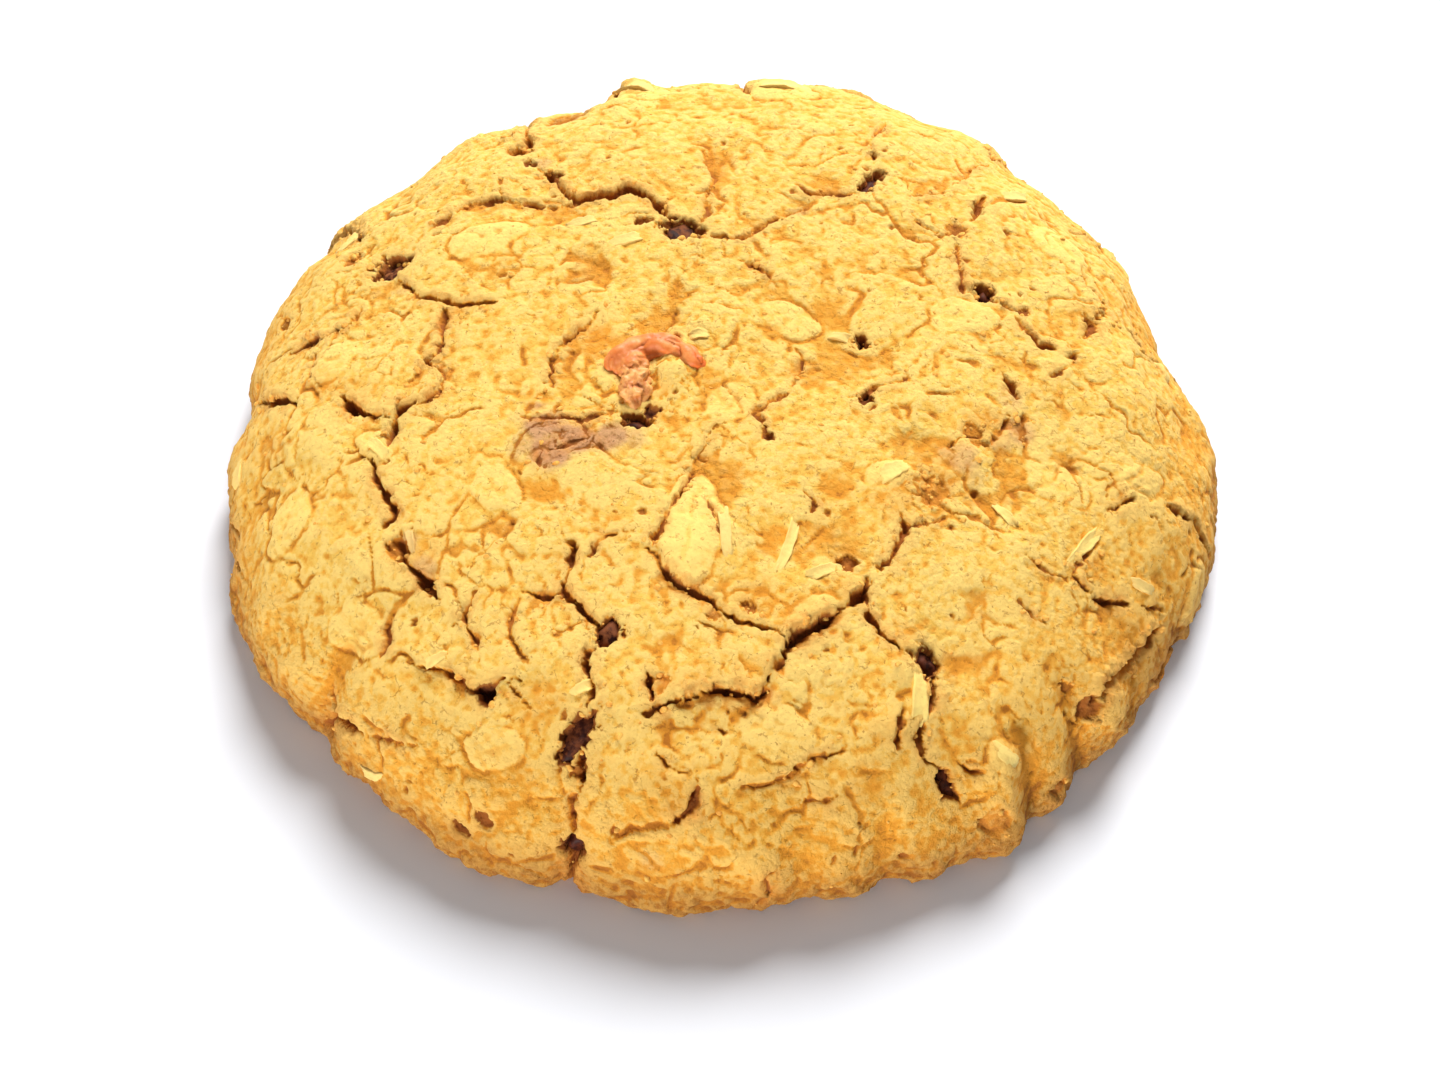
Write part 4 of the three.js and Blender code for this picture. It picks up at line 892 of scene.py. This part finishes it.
def oatShape(length, width, number):
    # a flake with domed faces and a torn edge
    rings, sides, thickness = sliver["rings"], sliver["sides"], sliver["thickness"]
    points = [(0.0, 0.0, 0.0)]
    sign = [1]
    faces = []
    share = np.linspace(0, 1, rings + 1)[1:]
    ringShares = [(value, 1) for value in share] + [(value, -1) for value in share[::-1][1:]]
    for value, face in ringShares:
        for k in range(sides):
            a = k / sides * 2 * math.pi
            torn = 1 + 0.08 * math.sin(3 * a + number) + 0.05 * math.sin(7 * a + 2.3 * number)
            torn += 0.06 * math.sin(13 * a + 5.1 * number) * value
            square = (abs(math.cos(a)) ** 3.2 + abs(math.sin(a)) ** 3.2) ** (-1 / 3.2)
            x = value * torn * square * length / 2 * math.cos(a)
            lopsided = 1 + 0.25 * math.sin(number * 1.7) * math.cos(a)
            y = value * torn * square * width / 2 * math.sin(a) * lopsided
            points.append((x, y, 0.0))
            sign.append(face)
    points.append((0.0, 0.0, 0.0))
    sign.append(-1)
    count = len(ringShares)
    for k in range(sides):
        faces.append((0, 1 + k, 1 + (k + 1) % sides))
        last = 1 + (count - 1) * sides
        faces.append((last + k, count * sides + 1, last + (k + 1) % sides))
        for i in range(count - 1):
            a, b = 1 + i * sides + k, 1 + i * sides + (k + 1) % sides
            faces.append((a, a + sides, b + sides, b))
    points = np.array(points)
    sign = np.array(sign)
    values = np.concatenate([[0], np.repeat([value for value, _ in ringShares], sides), [0]])
    body = np.sqrt(np.clip(1 - values ** 2.6, 0, 1))
    x, y = points[:, 0] / (length / 2), points[:, 1] / (width / 2)
    ripple = noise(points / 0.8 + number * 3.7) * 0.16 + noise(points / 0.35 + number) * 0.07
    cup = 0.26 * y * y - 0.2 * x * x + 0.12 * math.sin(number * 2.1) * x * y
    upper = thickness / 2 * body
    points[:, 2] = np.where(sign > 0, upper, -thickness * body) + (ripple + cup) * (0.3 + 0.7 * values)
    return points, faces


def settledPlace(place, smoothTop, surface):
    # middle of the finished crust close to a place
    away = np.linalg.norm(smoothTop - smoothPlace(place)[0], axis=1)
    return surface[:len(smoothTop)][away < 0.45].mean(0)


def makeSlivers(smoothTop, surface):
    allPoints, allFaces, masks, offset = [], [], [], 0
    for number, (place, length, width, turn, tilt, tone) in enumerate(slivers):
        s, angle = walk(place)
        _, across, up = tangentFrame(s[0], angle[0], turn)
        c, d = math.cos(math.radians(tilt / 2)), math.sin(math.radians(tilt / 2))
        side, lift = across * c + up * d, up * c - across * d
        points, faces = oatShape(length, width, number)
        reach = 0.42 * length
        run = np.array((math.cos(math.radians(turn)), math.sin(math.radians(turn)))) * reach
        ends = [np.array(place) + run * t for t in (-1, 0, 1)]
        back, middle, front = [settledPlace(end, smoothTop, surface) for end in ends]
        t = points[:, :1] / reach
        line = middle + (front - back) / 2 * t + ((front + back) / 2 - middle) * t * t
        placed = line + up * (sliver["proud"] - sliver["thickness"] * 0.3)
        placed = placed + points[:, 1:2] * side + points[:, 2:] * lift
        allPoints.append(placed)
        allFaces += shifted(faces, offset)
        masks.append(np.full(len(points), tone))
        offset += len(points)
    return np.concatenate(allPoints), allFaces, np.concatenate(masks)


def roughBall(size, number, rough=0.22, detail=4):
    # a rough ellipsoid, the same form as in the solids
    ball = bmesh.new()
    bmesh.ops.create_icosphere(ball, subdivisions=detail, radius=1.0)
    ball.verts.ensure_lookup_table()
    points = np.array([vertex.co[:] for vertex in ball.verts])
    faces = [tuple(vertex.index for vertex in face.verts) for face in ball.faces]
    ball.free()
    at = points * 1.7
    at[:, 0] += number * 5.3
    uneven = 1 + rough * noise(at)
    return points * uneven[:, None] * np.array(size) / 2, faces


chocolateForm = {"uneven": 0.3, "folds": 0.25, "grain": 0.25}     # how deep each is


def makeChocolate(piece, number):
    points, faces = roughBall(piece["size"], number)
    lengths = np.linalg.norm(points, axis=1, keepdims=True)
    melted = chocolateForm["uneven"] * layeredNoise(points, 1.2, 3, number * 2.0)
    melted -= chocolateForm["folds"] * np.abs(noise(points / 0.6 + number))
    melted += chocolateForm["grain"] * (grains(points, 0.8, number * 3.0)[2] - 0.5)
    points = points + points / lengths * melted[:, None]
    s, angle = walk(piece["at"])
    along, across, up = tangentFrame(s[0], angle[0], piece["turn"])
    origin = crustPlace(piece["at"]) - up * piece["size"][2] * chocolatePit["sink"]
    return origin + points[:, :1] * along + points[:, 1:2] * across + points[:, 2:] * up, faces


pecan = {
    "at": (-5.1, -1.9), "lift": -0.1,
    # offset, size, turn: the same lobes as in the solids
    "lobes": [((-2.0, 1.4), (4.2, 2.7, 3.0), 40), ((0.3, 2.2), (4.6, 2.7, 3.2), 0),
              ((2.6, 1.2), (3.8, 2.2, 2.6), -35), ((-1.4, -1.7), (4.4, 2.6, 2.6), 80),
              ((-1.6, 0.3), (2.8, 2.6, 2.6), 70)],
    "voxel": 0.11, "smoothing": 18,       # mesh size and rounds of smoothing where the lobes join
    "ridgeHeight": 0.12, "wrinkleDepth": 0.26, "crumble": 0.45,
}


def makePecan(shift):
    along, across, up = tangentFrame(*[value[0] for value in walk(pecan["at"])], 0)
    origin = crustPlace(pecan["at"]) + up * pecan["lift"]
    allPoints, allFaces, offset = [], [], 0
    for number, ((x, y), size, turn) in enumerate(pecan["lobes"]):
        points, faces = roughBall(size, 20 + number, 0.2)
        c, d = math.cos(math.radians(turn)), math.sin(math.radians(turn))
        px = x + points[:, 0] * c - points[:, 1] * d
        py = y + points[:, 0] * d + points[:, 1] * c
        placed = origin + px[:, None] * along + py[:, None] * across + points[:, 2:] * up
        allPoints.append(placed)
        allFaces += shifted(faces, offset)
        offset += len(points)
    piece = meshObject("pecan_kernel", np.concatenate(allPoints), allFaces, shift)
    bpy.context.view_layer.objects.active = piece
    remesh = piece.modifiers.new("join lobes", "REMESH")
    remesh.mode = "VOXEL"
    remesh.voxel_size = pecan["voxel"] * millimetre
    remesh.use_smooth_shade = True
    bpy.ops.object.modifier_apply(modifier=remesh.name)
    soften = piece.modifiers.new("soften joints", "SMOOTH")
    soften.iterations = pecan["smoothing"]
    bpy.ops.object.modifier_apply(modifier=soften.name)
    mesh = piece.data
    count = len(mesh.vertices)
    points = np.empty(count * 3, np.float32)
    normals = np.empty(count * 3, np.float32)
    mesh.vertices.foreach_get("co", points)
    mesh.vertices.foreach_get("normal", normals)
    points = points.reshape(-1, 3).astype(float) / millimetre
    normals = normals.reshape(-1, 3).astype(float)
    local = points - shift - origin
    x, y = local @ along, local @ across
    # wrinkles run along the bowed ridge, and the broken lobe is crumbly
    bow = np.hypot(x, y + 3.2)
    ridge = smoothstep(y + 0.25 * np.abs(x), -0.2, 1.0)
    folds = np.stack([bow * 1.5, x * 0.7, local @ up], -1)
    folds += 0.5 * layeredNoise(points, 1.3, 2, 3.0)[:, None]
    wrinkle = np.abs(noise(folds + 4.0)) * 2
    crumbly = layeredNoise(points, 0.6, 3, 8.0) + 0.5 * (grains(points, 0.7, 4.0)[2] - 0.5)
    change = ridge * (pecan["ridgeHeight"] - pecan["wrinkleDepth"] * (1 - wrinkle) ** 4)
    change = change + (1 - ridge) * pecan["crumble"] * crumbly + 0.08 * crumbly
    points += normals * change[:, None]
    mesh.vertices.foreach_set("co", (points * millimetre).astype(np.float32).ravel())
    mesh.update()
    addMask(piece, "skin", ridge)
    addMask(piece, "tip", smoothstep(x - 0.4 * y, 2.2, 4.0))
    groove = (1 - wrinkle) ** 3 * ridge + np.clip(-crumbly, 0, 1) * (1 - ridge)
    addMask(piece, "groove", np.clip(groove, 0, 1))
    return piece


crumbs = {"count": 1100, "small": 0.2, "large": 0.75, "seed": 7}


def makeCrumbs(surface, masks):
    # loose crumbs of dough, most of them beside the cracks
    random = np.random.RandomState(crumbs["seed"])
    weight = 0.1 + 1.5 * masks["glow"] * (1 - 0.5 * masks["open"]) + 5.0 * masks["crumbly"]
    weight = weight * (1 - 0.8 * masks["brownedAndShaded"]) * (1 - masks["mauve"])
    weight = weight * (masks["under"] < 0.5) * (surface[:, 2] > 1.5)
    chosen = random.choice(len(surface), crumbs["count"], replace=False, p=weight / weight.sum())
    allPoints, allFaces, offset = [], [], 0
    for number, row in enumerate(chosen):
        size = crumbs["small"] + (crumbs["large"] - crumbs["small"]) * random.random() ** 2.5
        axes = (size, size * random.uniform(0.6, 1), size * random.uniform(0.5, 0.9))
        points, faces = roughBall(axes, number, 0.6, 2)
        turn = random.uniform(0, math.pi)
        c, d = math.cos(turn), math.sin(turn)
        x, y, z = points.T
        points = np.stack([x * c - y * d, x * d + y * c, z], -1)
        allPoints.append(points + surface[row] - (0, 0, 0.15 * size))
        allFaces += shifted(faces, offset)
        offset += len(points)
    return np.concatenate(allPoints), allFaces


# finishes

def shade(code):
    # a colour as seen on screen, such as F3CB6C, in the linear values that nodes take
    values = [int(code[i:i + 2], 16) / 255 for i in (0, 2, 4)]
    return tuple(v / 12.92 if v <= 0.04045 else ((v + 0.055) / 1.055) ** 2.4 for v in values) + (1.0,)


def shades(codes):
    return {name: shade(code) for name, code in codes.items()}


class NodeTable:
    # short calls for adding and joining nodes
    def __init__(self, tree):
        self.tree = tree

    def add(self, kind, settings=None, **inputs):
        node = self.tree.nodes.new(kind)
        for key, value in (settings or {}).items():
            setattr(node, key, value)
        for key, value in inputs.items():
            self.feed(node, key.replace("_", " "), value)
        return node

    def feed(self, node, key, value):
        socket = node.inputs[int(key)] if key.isdigit() else node.inputs[key]
        if hasattr(value, "is_output"):
            self.tree.links.new(value, socket)
        else:
            socket.default_value = value

    def math(self, operation, a, b):
        node = self.tree.nodes.new("ShaderNodeMath")
        node.operation = operation
        self.feed(node, "0", a)
        self.feed(node, "1", b)
        return node.outputs[0]

    def times(self, a, b):
        return self.math("MULTIPLY", a, b)

    def plus(self, a, b):
        return self.math("ADD", a, b)

    def minus(self, a, b):
        return self.math("SUBTRACT", a, b)

    def swing(self, value, reach):
        # a value that runs from 0 to 1, moved to lie about 0
        return self.times(self.minus(value, 0.5), reach)

    def blend(self, factor, a, b):
        node = self.tree.nodes.new("ShaderNodeMix")
        node.data_type = "RGBA"
        for key, value in (("0", factor), ("6", a), ("7", b)):
            self.feed(node, key, value)
        return node.outputs[2]

    def span(self, value, low, high, to0=0.0, to1=1.0):
        node = self.tree.nodes.new("ShaderNodeMapRange")
        node.interpolation_type = "SMOOTHSTEP"
        self.feed(node, "0", value)
        for index, number in ((1, low), (2, high), (3, to0), (4, to1)):
            node.inputs[index].default_value = number
        return node.outputs[0]

    def mask(self, name):
        return self.add("ShaderNodeAttribute", {"attribute_name": name}).outputs["Fac"]

    def scaled(self, vector, factor):
        node = self.add("ShaderNodeVectorMath", {"operation": "SCALE"}, Vector=vector, Scale=factor)
        return node.outputs[0]

    def place(self):
        # position on the piece in millimetres
        return self.scaled(self.add("ShaderNodeTexCoord").outputs["Object"], 1 / millimetre)

    def clouds(self, at, scale, detail, roughness=0.6, distortion=0.0, output="Fac"):
        node = self.add("ShaderNodeTexNoise", Vector=at, Scale=scale, Detail=detail, Roughness=roughness,
                        Distortion=distortion)
        return node.outputs[output]

    def grain(self, size):
        group = self.add("ShaderNodeGroup", {"node_tree": bakedGrain})
        group.inputs["Size"].default_value = size
        return group.outputs


def bakedGrainGroup():
    # crumb of baked dough: tone of its granules, brown specks and hairlines, and height for bump
    tree = bpy.data.node_groups.new("bakedGrain", "ShaderNodeTree")
    tree.interface.new_socket("Size", in_out="INPUT", socket_type="NodeSocketFloat").default_value = 1.0
    for name in ("Mottle", "Patches", "Granules", "Sand", "Specks", "Hairs", "Height"):
        tree.interface.new_socket(name, in_out="OUTPUT", socket_type="NodeSocketFloat")
    table = NodeTable(tree)
    start = table.add("NodeGroupInput")
    end = table.add("NodeGroupOutput")
    at = table.scaled(table.place(), table.math("DIVIDE", 1.0, start.outputs["Size"]))
    bend = table.add("ShaderNodeVectorMath", {"operation": "ADD"})
    table.feed(bend, "0", at)
    table.feed(bend, "1", table.scaled(table.clouds(at, 1.6, 3.0, output="Color"), 0.8))
    bent = bend.outputs[0]
    mottle = table.clouds(at, 1.25, 8.0, 0.75)
    patches = table.clouds(at, 0.42, 5.0, 0.65, 0.4)
    sand = table.clouds(at, 3.2, 4.0, 0.7)
    # granules, each with a tone of its own
    cells = table.add("ShaderNodeTexVoronoi", Vector=bent, Scale=2.1)
    granules = table.add("ShaderNodeSeparateColor", Color=cells.outputs["Color"]).outputs[0]
    # brown specks in some of the larger cells
    dots = table.add("ShaderNodeTexVoronoi", Vector=bent, Scale=1.4)
    dotRoll = table.add("ShaderNodeSeparateColor", Color=dots.outputs["Color"]).outputs[1]
    specks = table.times(table.span(dots.outputs["Distance"], 0.07, 0.19, 1.0, 0.0),
                         table.span(dotRoll, 0.45, 0.75))
    # hairlines along parts of the cells' borders
    splits = table.add("ShaderNodeTexVoronoi", {"feature": "DISTANCE_TO_EDGE"}, Vector=bent, Scale=0.85)
    hairs = table.times(table.span(splits.outputs["Distance"], 0.015, 0.07, 1.0, 0.0),
                        table.span(table.clouds(at, 1.3, 3.0), 0.54, 0.64))
    height = table.plus(table.clouds(at, 2.4, 8.0, 0.75), table.times(mottle, 0.5))
    for part, depth in ((cells.outputs["Distance"], 0.45), (specks, 0.12), (hairs, 0.05)):
        height = table.minus(height, table.times(part, depth))
    results = {"Mottle": mottle, "Patches": patches, "Granules": granules, "Sand": sand,
               "Specks": specks, "Hairs": hairs, "Height": height}
    for name, value in results.items():
        table.feed(end, name, value)
    return tree


bakedGrain = bakedGrainGroup()


def newFinish(name, roughness, specular):
    material = bpy.data.materials.new(name)
    material.use_nodes = True
    table = NodeTable(material.node_tree)
    surface = material.node_tree.nodes["Principled BSDF"]
    surface.inputs["Roughness"].default_value = roughness
    surface.inputs["Specular IOR Level"].default_value = specular
    return material, table, surface


def addBump(table, surface, height, distance, strength):
    bump = table.add("ShaderNodeBump", Height=height)
    bump.inputs["Strength"].default_value = strength
    bump.inputs["Distance"].default_value = distance * millimetre
    table.tree.links.new(bump.outputs["Normal"], surface.inputs["Normal"])


crustColours = {
    "golden": "F2C257", "pale": "F7D275", "toasted": "E5982C", "side": "F2A02C",
    "oat": "F8D67A", "crease": "AE661E", "hollowBrownAndShade": "9A5622", "deepHollowBrownAndShade": "4A1E10",
    "mauve": "C8946E", "mauveDark": "6A3624", "speck": "A8661C", "seam": "C07A26",
    "under": "B97638", "foot": "985A20", "glow": "DA8C38",
}


def crustFinish():
    material, table, surface = newFinish("baked_crust", 0.85, 0.2)
    colour = shades(crustColours)
    grain = table.grain(1.0)
    mottle = grain["Mottle"]
    uneven = table.swing(mottle, 0.8)

    def tinted(base, amount, name):
        return table.blend(amount, base, colour[name])

    # painted light and shade: how far the crust stands out, and from that how light it is painted; hollows
    # get painted shade in orange and brown
    raised = table.plus(table.mask("rise"), table.plus(uneven, table.swing(grain["Granules"], 0.14)))
    raised = table.plus(raised, table.times(table.mask("pale"), 0.16))
    raised = table.minus(raised, table.times(table.mask("brownedAndShaded"), 0.1))
    lightness = table.minus(raised, table.swing(grain["Patches"], 0.9))
    base = table.blend(table.span(lightness, 0.40, 0.68), colour["golden"], colour["pale"])
    base = tinted(base, table.span(lightness, 0.14, 0.44, 0.6, 0.0), "toasted")
    # wide valleys painted orange as shade
    valley = table.plus(table.mask("valley"), table.times(uneven, 0.4))
    base = tinted(base, table.span(valley, 0.5, 0.78, 0.0, 0.75), "toasted")
    # browned side, with painted shade toward the front
    brownedAndShaded = table.times(table.mask("brownedAndShaded"), table.span(lightness, 0.25, 0.65, 0.95, 0.4))
    base = tinted(base, brownedAndShaded, "side")
    base = tinted(base, table.span(grain["Granules"], 0.05, 0.4, 0.15, 0.0), "toasted")
    # hollows painted orange, then crease brown: painted shade
    base = tinted(base, table.span(raised, 0.14, 0.44, 0.8, 0.0), "toasted")
    base = tinted(base, table.span(raised, -0.05, 0.2, 0.75, 0.0), "crease")
    base = tinted(base, table.times(table.mask("lowest"), table.span(mottle, 0.35, 0.6, 1.0, 0.55)), "foot")
    # toasted patches, stronger in hollows as painted shade, and the flakes that lie level
    spots = table.times(table.mask("toasted"), table.span(raised, 0.25, 0.75, 1.0, 0.35))
    spots = table.times(spots, table.span(mottle, 0.36, 0.56, 0.4, 1.0))
    base = tinted(base, spots, "toasted")
    base = tinted(base, table.times(table.mask("oat"), 0.5), "oat")
    # chocolate just below the crust, with finer marks
    crackle = table.grain(0.6)
    # the mauve is painted darker in hollows as shade
    mauve = table.blend(table.span(raised, 0.2, 0.6), colour["mauveDark"], colour["mauve"])
    for mark, amount in (("Hairs", 0.9), ("Specks", 0.7)):
        mauve = tinted(mauve, table.times(crackle[mark], amount), "mauveDark")
    patch = table.plus(table.mask("mauve"), table.times(uneven, 0.6))
    base = table.blend(table.span(patch, 0.1, 1.1, 0.0, 0.95), base, mauve)
    # the crust turns browner beside cracks, seams get brown lines with painted shade and the flakes a
    # painted shadow line around them, and it is specked all over
    base = tinted(base, table.times(table.mask("glow"), table.span(mottle, 0.35, 0.6, 0.35, 0.9)), "glow")
    base = tinted(base, table.times(table.mask("seam"), table.span(mottle, 0.44, 0.58, 0.1, 0.55)), "seam")
    base = tinted(base, table.span(grain["Sand"], 0.28, 0.46, 0.3, 0.0), "speck")
    base = tinted(base, table.times(grain["Specks"], 0.65), "speck")
    base = tinted(base, table.times(grain["Hairs"], 0.55), "speck")
    # pores painted dark: painted shade
    base = tinted(base, table.times(table.mask("pores"), 0.6), "hollowBrownAndShade")
    base = tinted(base, table.mask("under"), "under")
    # painted shade: the insides of cracks and hollows turn darker and browner the deeper and more open they
    # are
    sunk = table.plus(table.mask("sunk"), table.times(uneven, 0.4))
    base = tinted(base, table.span(sunk, 0.12, 0.42, 0.0, 0.8), "crease")
    base = tinted(base, table.span(sunk, 0.4, 0.85, 0.0, 0.7), "hollowBrownAndShade")
    torn = table.plus(table.mask("open"), table.times(uneven, 0.5))
    base = tinted(base, table.span(torn, 0.12, 0.4, 0.0, 0.85), "hollowBrownAndShade")
    base = tinted(base, table.span(torn, 0.55, 1.0, 0.0, 0.9), "deepHollowBrownAndShade")
    table.feed(surface, "Base Color", base)
    roughness = table.minus(1.0, table.times(table.mask("oat"), 0.6))
    addBump(table, surface, table.times(grain["Height"], roughness), 0.3, 0.8)
    return material


oatColours = {"pale": "FADC7E", "dull": "D8B070", "toasted": "EDB860", "speck": "C08A48"}


def oatFinish():
    material, table, surface = newFinish("oat_flake", 0.7, 0.3)
    colour = shades(oatColours)
    grain = table.grain(0.7)
    base = table.blend(table.mask("tone"), colour["dull"], colour["pale"])
    base = table.blend(table.span(grain["Mottle"], 0.4, 0.65, 0.0, 0.35), base, colour["toasted"])
    base = table.blend(table.times(grain["Specks"], 0.35), base, colour["speck"])
    table.feed(surface, "Base Color", base)
    addBump(table, surface, grain["Height"], 0.12, 0.6)
    return material


crumbColours = {"golden": "F0C060", "toasted": "E0963C"}


def crumbFinish():
    material, table, surface = newFinish("crumb", 0.85, 0.2)
    colour = shades(crumbColours)
    grain = table.grain(0.5)
    base = table.blend(table.span(grain["Mottle"], 0.35, 0.65), colour["golden"], colour["toasted"])
    table.feed(surface, "Base Color", base)
    addBump(table, surface, grain["Height"], 0.1, 0.6)
    return material


chocolateColours = {"dark": "2C0D06", "brown": "5C2814", "bloom": "9C6038"}


def chocolateFinish(name, bloom):
    # bloom is the pale film on chocolate that melted and set again
    material, table, surface = newFinish(name, 0.5, 0.15)
    colour = shades(chocolateColours)
    place = table.place()
    streaks = table.clouds(place, 1.4, 5.0)
    dark = table.blend(table.span(streaks, 0.35, 0.7), colour["dark"], colour["brown"])
    base = table.blend(table.span(streaks, 0.4, 0.62, 0.0, bloom), dark, colour["bloom"])
    table.feed(surface, "Base Color", base)
    dull = table.span(streaks, 0.3, 0.7, 0.45 + 0.3 * bloom, 0.65 + 0.3 * bloom)
    table.feed(surface, "Roughness", dull)
    addBump(table, surface, table.clouds(place, 3.5, 4.0, 0.5), 0.1, 0.5)
    return material


pecanColours = {
    "skin": "F4A25A", "skinShade": "E67C34", "flesh": "F0B068", "fleshShade": "C87838",
    "groove": "C06430", "tip": "E2641E",
}


def pecanFinish():
    material, table, surface = newFinish("pecan_skin", 0.5, 0.4)
    colour = shades(pecanColours)
    veins = table.clouds(table.place(), 1.1, 6.0, 0.65)
    skin = table.blend(table.span(veins, 0.35, 0.65), colour["skin"], colour["skinShade"])
    flesh = table.blend(table.span(veins, 0.4, 0.65), colour["flesh"], colour["fleshShade"])
    base = table.blend(table.mask("skin"), flesh, skin)
    base = table.blend(table.times(table.mask("groove"), 0.6), base, colour["groove"])
    base = table.blend(table.times(table.mask("tip"), 0.7), base, colour["tip"])
    table.feed(surface, "Base Color", base)
    addBump(table, surface, veins, 0.12, 0.6)
    return material


# the pieces

crustPoints, crustFaces, crustMasks, smoothTop = makeCrustMesh()
low, high = crustPoints.min(0), crustPoints.max(0)
doughBox = [np.array(corner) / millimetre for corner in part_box("dough")]
shift = (doughBox[0] + doughBox[1]) / 2 - (low + high) / 2
shift[2] = 0.0
print("crust points", len(crustPoints), "shift", shift)

crust = meshObject("cookie_crust", crustPoints, crustFaces, shift)
for maskName, values in crustMasks.items():
    addMask(crust, maskName, values)
crust.data.materials.append(crustFinish())
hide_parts("dough")
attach(crust, "root")

oatPoints, oatFaces, oatTones = makeSlivers(smoothTop, crustPoints)
oats = meshObject("oat_flakes", oatPoints, oatFaces, shift)
addMask(oats, "tone", oatTones)
oats.data.materials.append(oatFinish())
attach(oats, "root")
print("oat flakes", len(slivers))

crumbPoints, crumbFaces = makeCrumbs(crustPoints, crustMasks)
loose = meshObject("crumbs", crumbPoints, crumbFaces, shift)
loose.data.materials.append(crumbFinish())
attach(loose, "root")
print("crumbs", crumbs["count"])

for number, piece in enumerate(chocolates):
    points, faces = makeChocolate(piece, number)
    lump = meshObject(f"chocolate_{number + 1}", points, faces, shift)
    lump.data.materials.append(chocolateFinish(f"chocolate_{number + 1}", piece["bloom"]))
    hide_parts(f"chocolate_piece_{number + 1}")
    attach(lump, "root")
print("chocolate pieces", len(chocolates))

kernel = makePecan(shift)
kernel.data.materials.clear()
kernel.data.materials.append(pecanFinish())
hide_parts("pecan_piece")
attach(kernel, "root")
print("pecan done")


# the stage, the lights and the camera

# in metres, but the camera's place and aim in millimetres as the shapes are
studio = {
    "floorSize": 3.0, "floor": "E3E7EF",
    "keyPlace": (0.18, 0.79, 0.83), "keySize": 0.60, "keyPower": 22.9, "keyColour": (1.0, 0.98, 0.95),
    "fillPlace": (-0.36, -0.84, 0.11), "fillSize": 0.17, "fillPower": 7.5, "fillColour": (1.0, 0.98, 0.96),
    "lightAim": (0, 0, 0.008), "sky": 0.27,
    "cameraPlace": (0.2, -180.0, 223.5), "aim": (0.2, -7.3, 2.9), "lens": 85.0, "sensorWidth": 36.0,
}


def addFloor():
    half = studio["floorSize"] / 2
    corners = [(-half, -half, 0), (half, -half, 0), (half, half, 0), (-half, half, 0)]
    mesh = bpy.data.meshes.new("floor")
    mesh.from_pydata(corners, [], [(0, 1, 2, 3)])
    floor = bpy.data.objects.new("floor", mesh)
    bpy.context.scene.collection.objects.link(floor)
    material, _, surface = newFinish("pale_floor", 0.9, 0.1)
    surface.inputs["Base Color"].default_value = shade(studio["floor"])
    mesh.materials.append(material)


def addLight(name):
    lamp = bpy.data.lights.new(name, "AREA")
    lamp.shape = "DISK"
    lamp.size = studio[name + "Size"]
    lamp.energy = studio[name + "Power"]
    lamp.color = studio[name + "Colour"]
    light = bpy.data.objects.new(name, lamp)
    place = Vector(studio[name + "Place"])
    light.location = place
    light.rotation_euler = (Vector(studio["lightAim"]) - place).to_track_quat("-Z", "Y").to_euler()
    bpy.context.scene.collection.objects.link(light)


def addCamera():
    camera = bpy.data.objects.new("camera", bpy.data.cameras.new("camera"))
    camera.data.lens = studio["lens"]
    camera.data.sensor_width = studio["sensorWidth"]
    place = Vector([(value + move) * millimetre for value, move in zip(studio["cameraPlace"], shift)])
    aim = Vector([(value + move) * millimetre for value, move in zip(studio["aim"], shift)])
    camera.location = place
    camera.rotation_euler = (aim - place).to_track_quat("-Z", "Y").to_euler()
    bpy.context.scene.collection.objects.link(camera)
    bpy.context.scene.camera = camera


addFloor()
for lightName in ("key", "fill"):
    addLight(lightName)
addCamera()
world = bpy.data.worlds.new("studio")
world.use_nodes = True
world.node_tree.nodes["Background"].inputs["Color"].default_value = (1, 1, 1, 1)
world.node_tree.nodes["Background"].inputs["Strength"].default_value = studio["sky"]
bpy.context.scene.world = world
bpy.context.scene.view_settings.view_transform = "Standard"
print("stage, lights and camera done")
